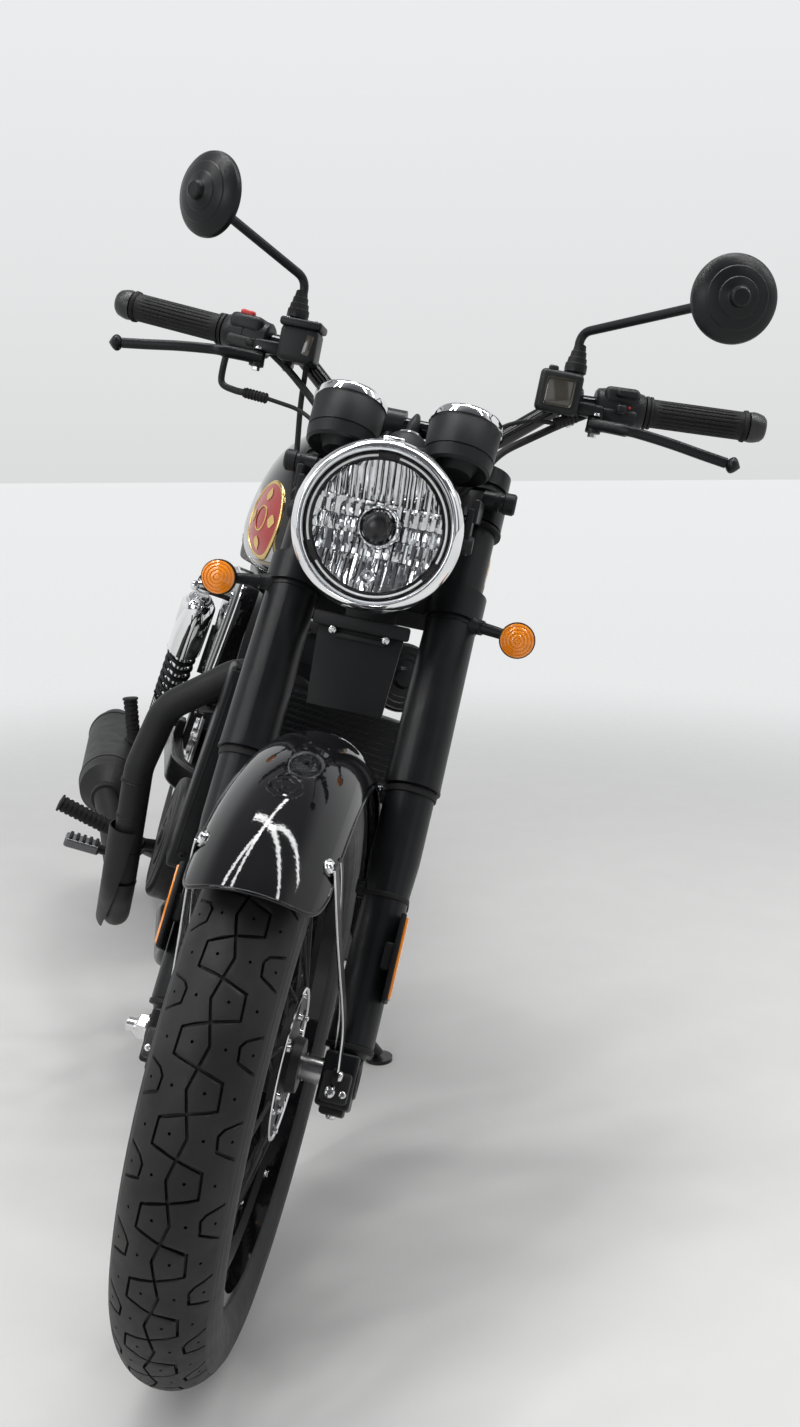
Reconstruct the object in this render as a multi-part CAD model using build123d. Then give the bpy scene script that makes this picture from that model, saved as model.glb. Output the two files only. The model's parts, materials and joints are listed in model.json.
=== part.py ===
from build123d import *
import math
import os

# ---------------------------------------------------------------- driving dimensions (mm)
# The motorcycle is laid out upright with its wheels straight ahead: X to the rider's left,
# Y backwards and Z up, from the front tyre's contact. Then it is steered, leaned and set down.
WHEELBASE = 1425
LEAN_DEG = 20                 # lean to the left, onto the side stand
STEER_DEG = -18               # handlebar turned to the rider's right
RAKE_DEG = 26.5
TRAIL = 98

# front wheel
FRONT_RADIUS = 319
FRONT_TYRE_WIDTH = 100
FRONT_CROWN = 52              # radius of the tread's crown
FRONT_BEAD = 230
FRONT_RIM_WIDTH = 76
FLANGE_HEIGHT = 8             # how far a rim's flange stands above the bead's seat
FRONT_AXLE_R = 8.5
FRONT_HUB_R = 34
FRONT_FLANGE_R = 80
FRONT_FLANGE_X = 37
FRONT_DISC_R = 160
DISC_THICKNESS = 5
FRONT_DISC_X = -58

# rear wheel
REAR_RADIUS = 321
REAR_TYRE_WIDTH = 150
REAR_CROWN = 82
REAR_GUARD_R = REAR_RADIUS + 52
REAR_BEAD = 217
REAR_RIM_WIDTH = 120
REAR_AXLE_R = 10
REAR_HUB_R = 42
REAR_FLANGE_R = 72
REAR_DISC_R = 127
REAR_DISC_X = -76
SPROCKET_R = 108
FRONT_SPROCKET_R = 38
CHAIN_FRONT_Y = 772
CHAIN_FRONT_Z = 352
CHAIN_X = 92
CHAIN_WIDTH = 16
CHAIN_HEIGHT = 14
SPOKE_R = 2
SPOKES_PER_SIDE = 18

# fork
LEG_X = 96
CLAMP_X = 93                  # the axle's clamps at the feet of the legs
CLAMP_HALF = 18
STANCHION_R = 20.5
SLIDER_R = 25
SLIDER_TOP_R = 28
COVER_R = 32
COVER_TOP_R = 30
UPPER_COVER_R = 27
COVER_BOTTOM = 320            # distances up the fork leg from the axle
YOKE_BOTTOM = 524
YOKE_TOP = 560
TOP_YOKE_BOTTOM = 700
TOP_YOKE_TOP = 722
STEM_R = 14
STEER_LOCK_DEG = 35
LOCK_GAP = 6
TOP_CLAMP_R = 30
YOKE_DEPTH = 48
HEAD_TUBE_R = 29

# front mudguard
GUARD_R = 346
GUARD_HALF_WIDTH = 64
GUARD_THICKNESS = 2.5
GUARD_FRONT_DEG = 46          # above the horizontal, ahead of the axle
GUARD_REAR_DEG = 178

# lights, dials and controls
LAMP_Y = 138
LAMP_Z = 880
LAMP_R = 95
LAMP_SHELL_R = 87
GAUGE_X = 67
GAUGE_Y = 216
GAUGE_Z = 1012
GAUGE_R = 42
GAUGE_HEIGHT = 66
GAUGE_TILT_DEG = 22
BAR_R = 11
BAR_CENTRE = (0, 362, 1008)
GRIP_INNER = (265, 350, 1079)
GRIP_OUTER = (397, 378, 1090)
GRIP_R = 17
MIRROR_R = 48
INDICATOR_R = 20

# frame and engine
PIVOT_Y = 880
PIVOT_Z = 345
PIVOT_R = 9
FRAME_TUBE_R = 14
BACKBONE_R = 21
CRADLE_X = 85
CRADLE_Z = 204
PLATE_X = 66                  # the narrow frame round the swingarm's pivot, inside the chain
RAIL_Z = 722
CASE_HALF_WIDTH = 68
CASE_LOW = 232
BARREL_TILT_DEG = 9
BARREL_HEIGHT = 116
SHOCK_TOP_X = 166
SHOCK_TOP_Z = 665
SHOCK_LOW_X = 158
SHOCK_LOW_Y = 1335
SHOCK_LOW_Z = 372
ARM_X = 116
ARM_WIDTH = 26
SPOOL_HOLE_R = 3.4
SPOOL_HOLE_DEPTH = 14
SPOOL_Y = 1385
SPOOL_Z = 322
PLATE_Y = 1816                # the blank number plate
PLATE_THICKNESS = 5
PLATE_HOLE_X = 62.5
PLATE_HOLE_Z = 505
PLATE_HOLE_R = 3.3
SHOCK_PIN_R = 8
HEADER_R = 19.5
CABLE_R = 2.6
HOSE_R = 3.5
LOOM_R = 4.5
CLEARANCE = 0.3
RUNNING_FIT = 0.05

RAKE = math.radians(RAKE_DEG)
UP_FORK = Vector(0, math.sin(RAKE), math.cos(RAKE))
BACK_OF_FORK = Vector(0, -math.cos(RAKE), math.sin(RAKE))
AXLE_OFFSET = FRONT_RADIUS * math.sin(RAKE) - TRAIL * math.cos(RAKE)
FRONT_AXLE = Vector(0, 0, FRONT_RADIUS)
REAR_AXLE = Vector(0, WHEELBASE, REAR_RADIUS)
STEER_FOOT = FRONT_AXLE - BACK_OF_FORK * AXLE_OFFSET


def leg_point(side, distance):
    """A point on one fork leg, a distance up from the axle."""
    return FRONT_AXLE + Vector(side * LEG_X, 0, 0) + UP_FORK * distance


def stem_point(distance):
    """A point on the steering axis, a distance up from the axle's level."""
    return STEER_FOOT + UP_FORK * distance


# ---------------------------------------------------------------- shape helpers
def rod(start, end, radius):
    start, end = Vector(start), Vector(end)
    along = end - start
    return Plane(origin=start, z_dir=along) * Cylinder(
        radius, along.length, align=(Align.CENTER, Align.CENTER, Align.MIN))


def pipe(points, radius, bend):
    """A round bar along straight runs joined by tangent arcs."""
    path = FilletPolyline(*points, radius=bend)
    return sweep(Plane(origin=path @ 0, z_dir=path % 0) * Circle(radius), path=path)


def cord(points, radius):
    """A held cable: straight runs joined by arcs as large as the runs allow."""
    points = [Vector(point) for point in points]
    radii = []
    for before, corner, after in zip(points, points[1:], points[2:]):
        turn = math.radians((corner - before).get_angle(after - corner))
        shorter = min((corner - before).length, (after - corner).length)
        radii.append(0.45 * shorter / math.tan(turn / 2))
    tube = pipe(points, radius, radii)
    length = tube.volume / (math.pi * radius ** 2)
    print("cord of radius", radius, "length", round(length), "arcs", [round(r) for r in radii])
    return tube


def flat_bar(points, width, thickness, bend):
    path = FilletPolyline(*points, radius=bend)
    section = Plane(origin=path @ 0, x_dir=(1, 0, 0), z_dir=path % 0) * Rectangle(thickness, width)
    return sweep(section, path=path)


def turned(origin, axis, outline, arc=360):
    """A solid of revolution: the outline's points are (distance along the axis, radius)."""
    origin, axis = Vector(origin), Vector(axis)
    side = Vector(0, 0, 1) if abs(axis.normalized().Z) < 0.9 else Vector(0, 1, 0)
    side = (side - axis.normalized() * side.dot(axis.normalized())).normalized()
    plane = Plane(origin=origin, x_dir=axis, z_dir=axis.cross(side))
    face = plane * make_face(Polyline(*outline, close=True))
    return revolve(face, axis=Axis(origin, axis), revolution_arc=arc)


def ring(centre, axis, outer, inner, width):
    half = width / 2
    return turned(centre, axis, [(-half, inner), (half, inner), (half, outer), (-half, outer)])


def block(centre, size, round_off=0):
    shape = Pos(*centre) * Box(*size)
    if round_off:
        shape = fillet(shape.edges(), round_off)
    return shape


def both(make):
    """The same piece on both sides: make(1) on the rider's left, make(-1) on the right."""
    return Compound(children=[Compound(make(1)), Compound(make(-1))])


def solids_of(*shapes):
    found = []
    for shape in shapes:
        found.extend(shape.solids())
    return Compound(children=found)


# ---------------------------------------------------------------- wheels
def tyre(centre, radius, width, crown, bead, rim_width):
    """A hollow tyre of revolution: round crown, side walls and two beads."""
    half, bead_half = width / 2, rim_width / 2 - 5
    crown_edge = math.sqrt(crown ** 2 - half ** 2) if crown > half else 0
    shoulder = radius - crown + crown_edge
    rise = bead + FLANGE_HEIGHT + 1
    outer = [
        ThreePointArc((-half, shoulder), (0, radius), (half, shoulder)),
        ThreePointArc((half, shoulder), ((half + bead_half) / 2 + 4, (shoulder + rise) / 2),
                      (bead_half, rise)),
        Polyline((bead_half, rise), (bead_half, bead), (bead_half - 9, bead)),
        ThreePointArc((bead_half - 9, bead), (0, radius - 14), (9 - bead_half, bead)),
        Polyline((9 - bead_half, bead), (-bead_half, bead), (-bead_half, rise)),
        ThreePointArc((-bead_half, rise), (-(half + bead_half) / 2 - 4, (shoulder + rise) / 2),
                      (-half, shoulder)),
    ]
    plane = Plane(origin=centre, x_dir=(1, 0, 0), z_dir=(0, -1, 0))
    return revolve(plane * make_face(outer), axis=Axis(centre, (1, 0, 0)))


def rim(centre, bead, width):
    """A drop-centre rim that holds the beads between its flanges."""
    half, seat = width / 2, bead - CLEARANCE
    lip = seat + FLANGE_HEIGHT
    outline = [(-half, lip), (-half + 4.5, lip), (-half + 4.5, seat), (-half + 18, seat - 1),
               (-half + 24, seat - 15), (half - 24, seat - 15), (half - 18, seat - 1),
               (half - 4.5, seat), (half - 4.5, lip), (half, lip), (half, seat - 4),
               (half - 16, seat - 6), (half - 22, seat - 20), (-half + 22, seat - 20),
               (-half + 16, seat - 6), (-half, seat - 4)]
    return turned(centre, (1, 0, 0), outline)


def spokes(centre, flanges, rim_radius, rim_offset):
    """Straight spokes that cross in pairs, from each flange to the rim's well."""
    wires = []
    for flange_x, flange_r in flanges:
        side = math.copysign(1, flange_x)
        for i in range(SPOKES_PER_SIDE):
            at = 360 / SPOKES_PER_SIDE * (i + 0.25 * side)
            swing = 34 if i % 2 else -34
            lift = 2.6 * side if i % 2 else -2.6 * side
            inner = (flange_x + lift, flange_r, at)
            outer = (side * rim_offset, rim_radius, at + swing * (1 - flange_r / rim_radius))
            ends = [Vector(centre) + Vector(x, r * math.cos(math.radians(a)),
                                            r * math.sin(math.radians(a)))
                    for x, r, a in (inner, outer)]
            wires.append(rod(ends[0], ends[1], SPOKE_R))
    return wires


def front_wheel():
    tread = tyre(FRONT_AXLE, FRONT_RADIUS, FRONT_TYRE_WIDTH, FRONT_CROWN, FRONT_BEAD, FRONT_RIM_WIDTH)
    hoop = rim(FRONT_AXLE, FRONT_BEAD, FRONT_RIM_WIDTH)
    bore = FRONT_AXLE_R + RUNNING_FIT
    right = FRONT_DISC_X + DISC_THICKNESS / 2
    x, r = FRONT_FLANGE_X, FRONT_FLANGE_R
    hub = turned(FRONT_AXLE, (1, 0, 0), [
        (right, bore), (right, 46), (right + 6, 46), (right + 8, 40), (-x, 40), (-x, 58),
        (6 - x, 58), (10 - x, FRONT_HUB_R), (x - 12, FRONT_HUB_R), (x - 6, 44), (x - 6, r),
        (x, r), (x, 44), (x + 4, 30), (x + 14, 28), (x + 14, bore)])
    window = rod((x - 10, 0, FRONT_RADIUS + 60), (x + 4, 0, FRONT_RADIUS + 60), 10)
    for i in range(6):
        hub -= window.rotate(Axis(FRONT_AXLE, (1, 0, 0)), 60 * i)
    lacing = spokes(FRONT_AXLE, [(x - 3, r - 5), (3 - x, 53)], FRONT_BEAD - 19.5, 8)
    laced = hub
    for wire in lacing:
        laced += wire
    laced -= ring(FRONT_AXLE, (1, 0, 0), FRONT_BEAD, FRONT_BEAD - 20.4, FRONT_RIM_WIDTH)
    disc = brake_disc(FRONT_AXLE, FRONT_DISC_X, FRONT_DISC_R, 46, 38)
    return {"front_tyre": tread, "front_rim": hoop, "front_hub": laced, "front_brake_disc": disc}


def brake_disc(centre, x, radius, bolt_r, track):
    """A braking ring with drilled holes, on a carrier with openings, bolted to the hub."""
    at = Vector(x, centre.Y, centre.Z)
    plate = ring(at, (1, 0, 0), radius, 22, DISC_THICKNESS)
    openings = 8
    middle = (radius - track + bolt_r + 8) / 2
    gap = rod(at + Vector(-9, 0, middle), at + Vector(9, 0, middle), middle * 0.27)
    for i in range(openings):
        plate -= gap.rotate(Axis(centre, (1, 0, 0)), 360 / openings * i)
    return plate


def rear_wheel():
    tread = tyre(REAR_AXLE, REAR_RADIUS, REAR_TYRE_WIDTH, REAR_CROWN, REAR_BEAD, REAR_RIM_WIDTH)
    hoop = rim(REAR_AXLE, REAR_BEAD, REAR_RIM_WIDTH)
    bore = REAR_AXLE_R + RUNNING_FIT
    right = REAR_DISC_X + DISC_THICKNESS / 2
    left = CHAIN_X - 4
    hub = turned(REAR_AXLE, (1, 0, 0), [
        (right, bore), (right, 50), (right + 6, 50), (right + 8, 40), (-44, 40), (-44, REAR_FLANGE_R),
        (-38, REAR_FLANGE_R), (-34, REAR_HUB_R), (34, REAR_HUB_R), (38, REAR_FLANGE_R + 6),
        (44, REAR_FLANGE_R + 6), (46, 66), (left, 62), (left, bore)])
    lacing = spokes(REAR_AXLE, [(41, REAR_FLANGE_R), (-41, REAR_FLANGE_R - 6)], REAR_BEAD - 19.5, 10)
    laced = hub
    for wire in lacing:
        laced += wire
    laced -= ring(REAR_AXLE, (1, 0, 0), REAR_BEAD, REAR_BEAD - 20.4, REAR_RIM_WIDTH)
    disc = brake_disc(REAR_AXLE, REAR_DISC_X, REAR_DISC_R, 50, 30)
    at = Vector(left + 3, REAR_AXLE.Y, REAR_AXLE.Z)
    sprocket = ring(at, (1, 0, 0), SPROCKET_R - CHAIN_HEIGHT / 2 - 1, REAR_AXLE_R + 12, 6)
    hole = rod(at + Vector(-6, 0, 74), at + Vector(6, 0, 74), 11)
    for i in range(8):
        sprocket -= hole.rotate(Axis(REAR_AXLE, (1, 0, 0)), 45 * i)
    return {"rear_tyre": tread, "rear_rim": hoop, "rear_hub": laced, "rear_brake_disc": disc,
            "rear_sprocket": sprocket}


# ---------------------------------------------------------------- fork and front end
def fork():
    def leg(side):
        slider = turned(leg_point(side, 0), UP_FORK, [
            (20, 0), (20, 19), (34, SLIDER_R), (190, SLIDER_R), (235, SLIDER_TOP_R),
            (COVER_BOTTOM + 12, SLIDER_TOP_R), (COVER_BOTTOM + 12, STANCHION_R),
            (TOP_YOKE_TOP + 6, STANCHION_R), (TOP_YOKE_TOP + 6, 0)])
        clamp = block(FRONT_AXLE + Vector(side * CLAMP_X, -4, -6), (2 * CLAMP_HALF, 50, 56), 4)
        clamp = clamp.rotate(Axis(leg_point(side, 0), (1, 0, 0)), -RAKE_DEG)
        boss = rod(leg_point(side, 195) - Vector(side * 31, 0, 0), leg_point(side, 195), 9)
        guard_gap = LEG_X - GUARD_HALF_WIDTH - CLEARANCE
        boss += rod(leg_point(side, 302) - Vector(side * guard_gap, 0, 0), leg_point(side, 302), 8)
        hole = rod((side * LEG_X - 40, 0, FRONT_RADIUS), (side * LEG_X + 40, 0, FRONT_RADIUS),
                   FRONT_AXLE_R + RUNNING_FIT)
        return slider + clamp + boss - hole

    def covers(side):
        lower = turned(leg_point(side, 0), UP_FORK, [
            (COVER_BOTTOM, SLIDER_TOP_R + CLEARANCE), (COVER_BOTTOM, COVER_R),
            (YOKE_BOTTOM - CLEARANCE, COVER_TOP_R), (YOKE_BOTTOM - CLEARANCE, STANCHION_R + CLEARANCE),
            (COVER_BOTTOM + 14, STANCHION_R + CLEARANCE), (COVER_BOTTOM + 14, SLIDER_TOP_R + CLEARANCE)])
        upper = turned(leg_point(side, 0), UP_FORK, [
            (YOKE_TOP + CLEARANCE, STANCHION_R + CLEARANCE), (YOKE_TOP + CLEARANCE, UPPER_COVER_R),
            (TOP_YOKE_BOTTOM - CLEARANCE, UPPER_COVER_R),
            (TOP_YOKE_BOTTOM - CLEARANCE, STANCHION_R + CLEARANCE)])
        return solids_of(lower, upper)

    bottom = yoke(YOKE_BOTTOM, YOKE_TOP, 34, 30)
    top = yoke(TOP_YOKE_BOTTOM, TOP_YOKE_TOP, TOP_CLAMP_R, 26)
    stem = rod(stem_point(YOKE_BOTTOM), stem_point(TOP_YOKE_TOP + 8), STEM_R)
    lock = rod(stem_point(TOP_YOKE_TOP - 2) - BACK_OF_FORK * -46, stem_point(TOP_YOKE_TOP + 30)
               - BACK_OF_FORK * -46, 15)
    risers = [rod(leg_point(0.35 * side, TOP_YOKE_TOP - 4) - BACK_OF_FORK * 24,
                  (0.35 * side * LEG_X, BAR_CENTRE[1], BAR_CENTRE[2]), 12) for side in (1, -1)]
    caps = [rod((0.35 * side * LEG_X - 14, BAR_CENTRE[1], BAR_CENTRE[2]),
                (0.35 * side * LEG_X + 14, BAR_CENTRE[1], BAR_CENTRE[2]), 19) for side in (1, -1)]
    yokes = bottom + top + stem + lock
    for piece in risers + caps:
        yokes += piece
    return {"fork_legs": both(leg), "fork_covers": both(covers), "fork_yokes": yokes}


def yoke(bottom, top, clamp_r, stem_clamp_r):
    """A clamp plate: two fork clamps and the stem's boss, joined by a web."""
    def at(point):
        return Plane(origin=point, x_dir=(1, 0, 0), z_dir=UP_FORK)
    height = top - bottom
    low = (Align.CENTER, Align.CENTER, Align.MIN)
    plate = at(stem_point(bottom)) * Cylinder(stem_clamp_r, height, align=low)
    for side in (1, -1):
        plate += at(leg_point(side, bottom)) * Cylinder(clamp_r, height, align=low)
    web = at(leg_point(0, bottom)) * Pos(0, AXLE_OFFSET * 0.3, 0) * Box(
        2 * LEG_X, YOKE_DEPTH, height, align=low)
    plate += web
    for side in (1, -1):
        plate -= at(leg_point(side, bottom - 1)) * Cylinder(STANCHION_R + CLEARANCE, height + 2, align=low)
    return plate


def top_yoke_room(turn):
    """The space that the top yoke needs when the bars are turned by an angle."""
    low = leg_point(0, TOP_YOKE_BOTTOM - LOCK_GAP)
    height = TOP_YOKE_TOP - TOP_YOKE_BOTTOM + 2 * LOCK_GAP
    web = Box(2 * (LEG_X + LOCK_GAP), YOKE_DEPTH + 2 * LOCK_GAP, height,
              align=(Align.CENTER, Align.CENTER, Align.MIN))
    room = Plane(origin=low, x_dir=(1, 0, 0), z_dir=UP_FORK) * Pos(0, AXLE_OFFSET * 0.3, 0) * web
    for side in (1, -1):
        room += rod(leg_point(side, TOP_YOKE_BOTTOM - LOCK_GAP), leg_point(side, TOP_YOKE_TOP + LOCK_GAP),
                    TOP_CLAMP_R + LOCK_GAP)
    return room.rotate(Axis(STEER_FOOT, UP_FORK), turn)


def headlamp():
    face = Vector(0, LAMP_Y, LAMP_Z)
    forward = (0, -1, 0)
    ring_piece = turned(face, forward, [
        (-12, LAMP_SHELL_R + CLEARANCE), (-12, LAMP_R - 1), (4, LAMP_R), (14, LAMP_R - 5),
        (18, LAMP_R - 12), (14, LAMP_R - 14), (4, LAMP_R - 12), (4, LAMP_SHELL_R + CLEARANCE)])
    lens = turned(face, forward, [
        (-4, 0), (-4, LAMP_R - 12.3), (4, LAMP_R - 12.3), (13.5, LAMP_R - 14.5), (17, LAMP_R - 22),
        (22, LAMP_R - 45),
        (25, 0)])
    shell = turned(face, forward, [
        (3, LAMP_SHELL_R - 3), (3, LAMP_SHELL_R), (-20, LAMP_SHELL_R), (-48, LAMP_SHELL_R - 8),
        (-76, LAMP_SHELL_R - 28), (-96, LAMP_SHELL_R - 58), (-102, 0), (-99, 0),
        (-93, LAMP_SHELL_R - 60), (-74, LAMP_SHELL_R - 31), (-47, LAMP_SHELL_R - 11),
        (-20, LAMP_SHELL_R - 3)])

    def ear(side):
        knob_at = Vector(side * 131, 262, 936)
        clamp_at = 650
        band = Plane(origin=leg_point(side, clamp_at), z_dir=UP_FORK) * Cylinder(
            UPPER_COVER_R + 5, 34, align=(Align.CENTER, Align.CENTER, Align.MIN))
        arm = block((side * 100, 214, 918), (8, 110, 26), 2)
        arm += block((side * 96, 172, 894), (8, 34, 52), 2)
        knob = rod(knob_at + Vector(side * -30, 0, 0), knob_at + Vector(side * 6, 0, 0), 11)
        bolt = rod((side * (LAMP_SHELL_R - 4), 165, LAMP_Z), (side * 100, 165, LAMP_Z), 6)
        clear = Plane(origin=leg_point(side, clamp_at - 60), z_dir=UP_FORK) * Cylinder(
            UPPER_COVER_R + CLEARANCE, 160, align=(Align.CENTER, Align.CENTER, Align.MIN))
        return band + arm + knob + bolt - clear

    shell_solid = shell
    ears = [ear(1), ear(-1)]
    for piece in ears:
        shell_solid += piece
    panel = block((0, 176, 716), (88, 6, 92), 1.5)
    panel += block((0, 212, 752), (60, 70, 6)) + block((0, 244, 768), (60, 6, 38))
    return {"headlamp_ring": ring_piece, "headlamp_lens": lens, "headlamp_shell": shell_solid,
            "under_lamp_panel": panel}


def gauges():
    def one(side):
        up = Vector(0, math.sin(math.radians(GAUGE_TILT_DEG)), math.cos(math.radians(GAUGE_TILT_DEG)))
        rim_at = Vector(side * GAUGE_X, GAUGE_Y, GAUGE_Z)
        return turned(rim_at, up, [
            (0, 0), (0, GAUGE_R - 5), (3, GAUGE_R - 4), (3, GAUGE_R - 3), (-3, GAUGE_R - 2),
            (-10, GAUGE_R - 2), (-12, GAUGE_R - 1), (-40, GAUGE_R), (-GAUGE_HEIGHT + 8, GAUGE_R - 1),
            (-GAUGE_HEIGHT, GAUGE_R - 10), (-GAUGE_HEIGHT, 0)])
    cups = [one(1), one(-1)]
    tie = block((0, GAUGE_Y + 20, GAUGE_Z - 58), (2 * GAUGE_X, 26, 8), 2)
    tie += block((0, GAUGE_Y + 62, GAUGE_Z - 58), (40, 76, 8), 2)
    joined = tie
    for cup in cups:
        joined += cup
    return {"gauges": joined}


def handlebar():
    y, z = BAR_CENTRE[1:]
    ends = [(side * GRIP_OUTER[0], GRIP_OUTER[1], GRIP_OUTER[2]) for side in (-1, 1)]
    inner = [(side * 170, 351, 1074) for side in (-1, 1)]
    rise = [(side * 92, y, z) for side in (-1, 1)]
    bar = pipe([ends[0], inner[0], rise[0], rise[1], inner[1], ends[1]], BAR_R, 40)

    def grip(side):
        inner_end = Vector(side * GRIP_INNER[0], GRIP_INNER[1], GRIP_INNER[2])
        outer_end = Vector(side * GRIP_OUTER[0], GRIP_OUTER[1], GRIP_OUTER[2])
        along = (outer_end - inner_end).normalized()
        length = (outer_end - inner_end).length
        shape = turned(inner_end, along, [
            (0, 0), (0, GRIP_R + 1), (4, GRIP_R + 1), (5, GRIP_R - 1), (length - 14, GRIP_R - 1),
            (length - 12, GRIP_R + 2), (length - 4, GRIP_R + 2), (length + 14, GRIP_R - 3),
            (length + 16, GRIP_R - 8), (length + 16, 0)])
        return shape - bar

    def housing(side):
        inner_end = Vector(side * 200, 0, 0)
        along = Vector(side * (GRIP_OUTER[0] - 170), GRIP_OUTER[1] - 351, GRIP_OUTER[2] - 1074).normalized()
        start = Vector(side * 170, 351, 1074)
        begin = start + along * ((inner_end.X * side - 170) / abs(along.X))
        finish = start + along * ((GRIP_INNER[0] - 1 - 170) / abs(along.X))
        body = rod(begin + along * 4, finish, 23)
        pad = block(begin + along * 32 + Vector(0, -6, 12), (42, 34, 32), 6)
        return body + pad - bar

    grips = both(grip)
    housings = both(housing)
    perches = both(lambda side: perch(side) - bar)
    levers = both(lever)
    elbow = pipe([(-249.5, 328, 1072), (-249.5, 318, 1008), (-184.2, 310, 1004)], 4, 14)
    adjuster = rod((-229, 315.5, 1006.8), (-186, 310.2, 1004.1), 6)
    housings = solids_of(housings + (elbow + adjuster) - grips - perches)
    return {"handlebar": bar, "grips": grips, "switch_housings": housings,
            "control_perches": perches, "hand_levers": levers}


def perch(side):
    """The clamp with its fluid reservoir or switch box, and the mirror's socket."""
    clamp = rod((side * 168, 351, 1074), (side * 188, 352.4, 1075), 19)
    box = block((side * 160, 322, 1078), (52, 44, 52), 7)
    socket = rod((side * 174, 336, 1070), (side * 173, 336, 1112), 11)
    arm = block((side * 197, 326, 1066), (40, 22, 16), 3)
    adjuster = rod((side * 188, 321, 1056), (side * 162, 316, 1042.5), 6.5)
    return clamp + box + socket + arm + adjuster


def lever(side):
    blade = pipe([(side * 214, 318, 1050), (side * 250, 296, 1049), (side * 300, 292, 1043),
                  (side * 372, 288, 1033)], 6.5, [18, 60])
    ball = Pos(side * 375, 288, 1032.5) * Sphere(9.5)
    knuckle = rod((side * 209, 320, 1043), (side * 209, 320, 1057.7), 9)
    return blade + ball + knuckle


def cables():
    """Held at both ends: the two for the engine end on the lower yoke, beside the steering axis."""
    throttle = cord([(-184, 310, 1004), (-133, 298, 997), (-96, 270, 966), (-62, 266, 928), (-45, 264, 886),
                     (-38, 256, 836), (-36, 250, 800)], CABLE_R)
    clutch = cord([(161.8, 316, 1042.5), (136, 309.5, 1041), (104, 297, 1027), (76, 282, 994),
                   (54, 270, 950), (42, 264, 900), (38, 256, 836), (36, 250, 800)], CABLE_R)
    hose = cord([(-150, 332, 1056), (-149, 334, 1010), (-140, 324, 950), (-132, 314, 885),
                 (-120, 298, 812), (-114, 247, 725), (-112, 205, 640), (-110, 170, 570),
                 (-104, 140, 510), (-91, 126, 464), (-72, 122, 425)], HOSE_R)
    return {"control_cables": solids_of(throttle, clutch), "brake_hose": hose}


def wiring():
    """The switches' two looms, from under each housing into the back of the headlamp."""
    looms = []
    for side in (1, -1):
        looms.append(cord([(side * 198, 338, 1062), (side * 171, 331, 1045), (side * 136, 314, 1018),
                           (side * 108, 290, 995), (side * 91, 256, 962), (side * 70, 236, 928),
                           (side * 52, 212.5, 908)], LOOM_R))
    return {"wiring": solids_of(*looms)}


def mirrors():
    def one(side):
        foot = Vector(side * 173, 336, 1112.3)
        bend = Vector(side * 171, 335, 1155)
        centre = Vector(327, 210, 1200) if side > 0 else Vector(-281, 239, 1212)
        facing = Vector(-0.18, 0.98, 0.06) if side > 0 else Vector(0.52, 0.85, 0.08)
        facing = facing.normalized()
        boot = turned(foot, (0, 0, 1), [(0, 0), (0, 12), (6, 12), (26, 8), (28, 7), (28, 0)])
        joint = centre - facing * 18
        stalk = pipe([foot + Vector(0, 0, 10), bend, joint], 5.5, 14)
        knuckle = Pos(*joint) * Sphere(9)
        head = turned(centre, facing, [(-14, 0), (-14, 12), (-9, 30), (-3, MIRROR_R - 2),
                                       (3, MIRROR_R), (6, MIRROR_R - 1), (6, 0)])
        return boot + stalk + knuckle + head
    return {"mirrors": both(one)}


def front_indicators():
    def one(side):
        lamp_at = Vector(side * 175, 190, 787)
        stem = rod((side * 118, 222, 792), (side * 168, 200, 788), 7)
        body = turned(lamp_at, (0, -1, 0), [(-22, 0), (-22, 10), (-16, 16), (-4, INDICATOR_R),
                                            (4, INDICATOR_R), (8, INDICATOR_R - 3), (10, 0)])
        return stem + body
    return {"front_indicators": both(one)}


def guard_section(radius, half_width, depth):
    """An arched strip: (x, radius) points of a mudguard's cross-section, to be revolved."""
    inner = radius - GUARD_THICKNESS
    edge = half_width - GUARD_THICKNESS
    return [
        ThreePointArc((-half_width, radius - depth), (0, radius), (half_width, radius - depth)),
        Line((half_width, radius - depth), (edge, radius - depth)),
        ThreePointArc((edge, radius - depth), (0, inner), (-edge, radius - depth)),
        Line((-edge, radius - depth), (-half_width, radius - depth)),
    ]


def slider_room(side):
    return rod(leg_point(side, -20), leg_point(side, 230), SLIDER_R + CLEARANCE)


def front_mudguard():
    span = GUARD_REAR_DEG - GUARD_FRONT_DEG
    start = Plane(origin=FRONT_AXLE, x_dir=(1, 0, 0),
                  z_dir=Vector(1, 0, 0).cross(Vector(0, -math.cos(math.radians(GUARD_FRONT_DEG)),
                                                     math.sin(math.radians(GUARD_FRONT_DEG)))))
    guard = revolve(start * make_face(guard_section(GUARD_R, GUARD_HALF_WIDTH, 46)),
                    axis=Axis(FRONT_AXLE, (1, 0, 0)), revolution_arc=-span)

    def stays(side):
        front = flat_bar([(side * 66.4, -150, 583), (side * 70, -95, 490), (side * 80, -34, 380),
                          (side * 80, -30, 340)], 14, 4, [60, 30])
        return solids_of(front - slider_room(side))
    return {"front_mudguard": guard, "mudguard_stays": both(stays)}


def front_brake():
    behind = leg_point(-1, 0)
    body = block(FRONT_AXLE + Vector(FRONT_DISC_X, 118, 62), (46, 62, 92), 8)
    slot = rod(FRONT_AXLE + Vector(FRONT_DISC_X - 4.5, 0, 0), FRONT_AXLE + Vector(FRONT_DISC_X + 4.5, 0, 0),
               FRONT_DISC_R + 4)
    mount = block(FRONT_AXLE + Vector(-LEG_X + 8, 78, 70), (26, 60, 64), 2)
    leg_clear = rod(behind, leg_point(-1, 300), SLIDER_R + CLEARANCE)
    body += mount
    return {"front_caliper": body - slot - leg_clear}


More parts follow.
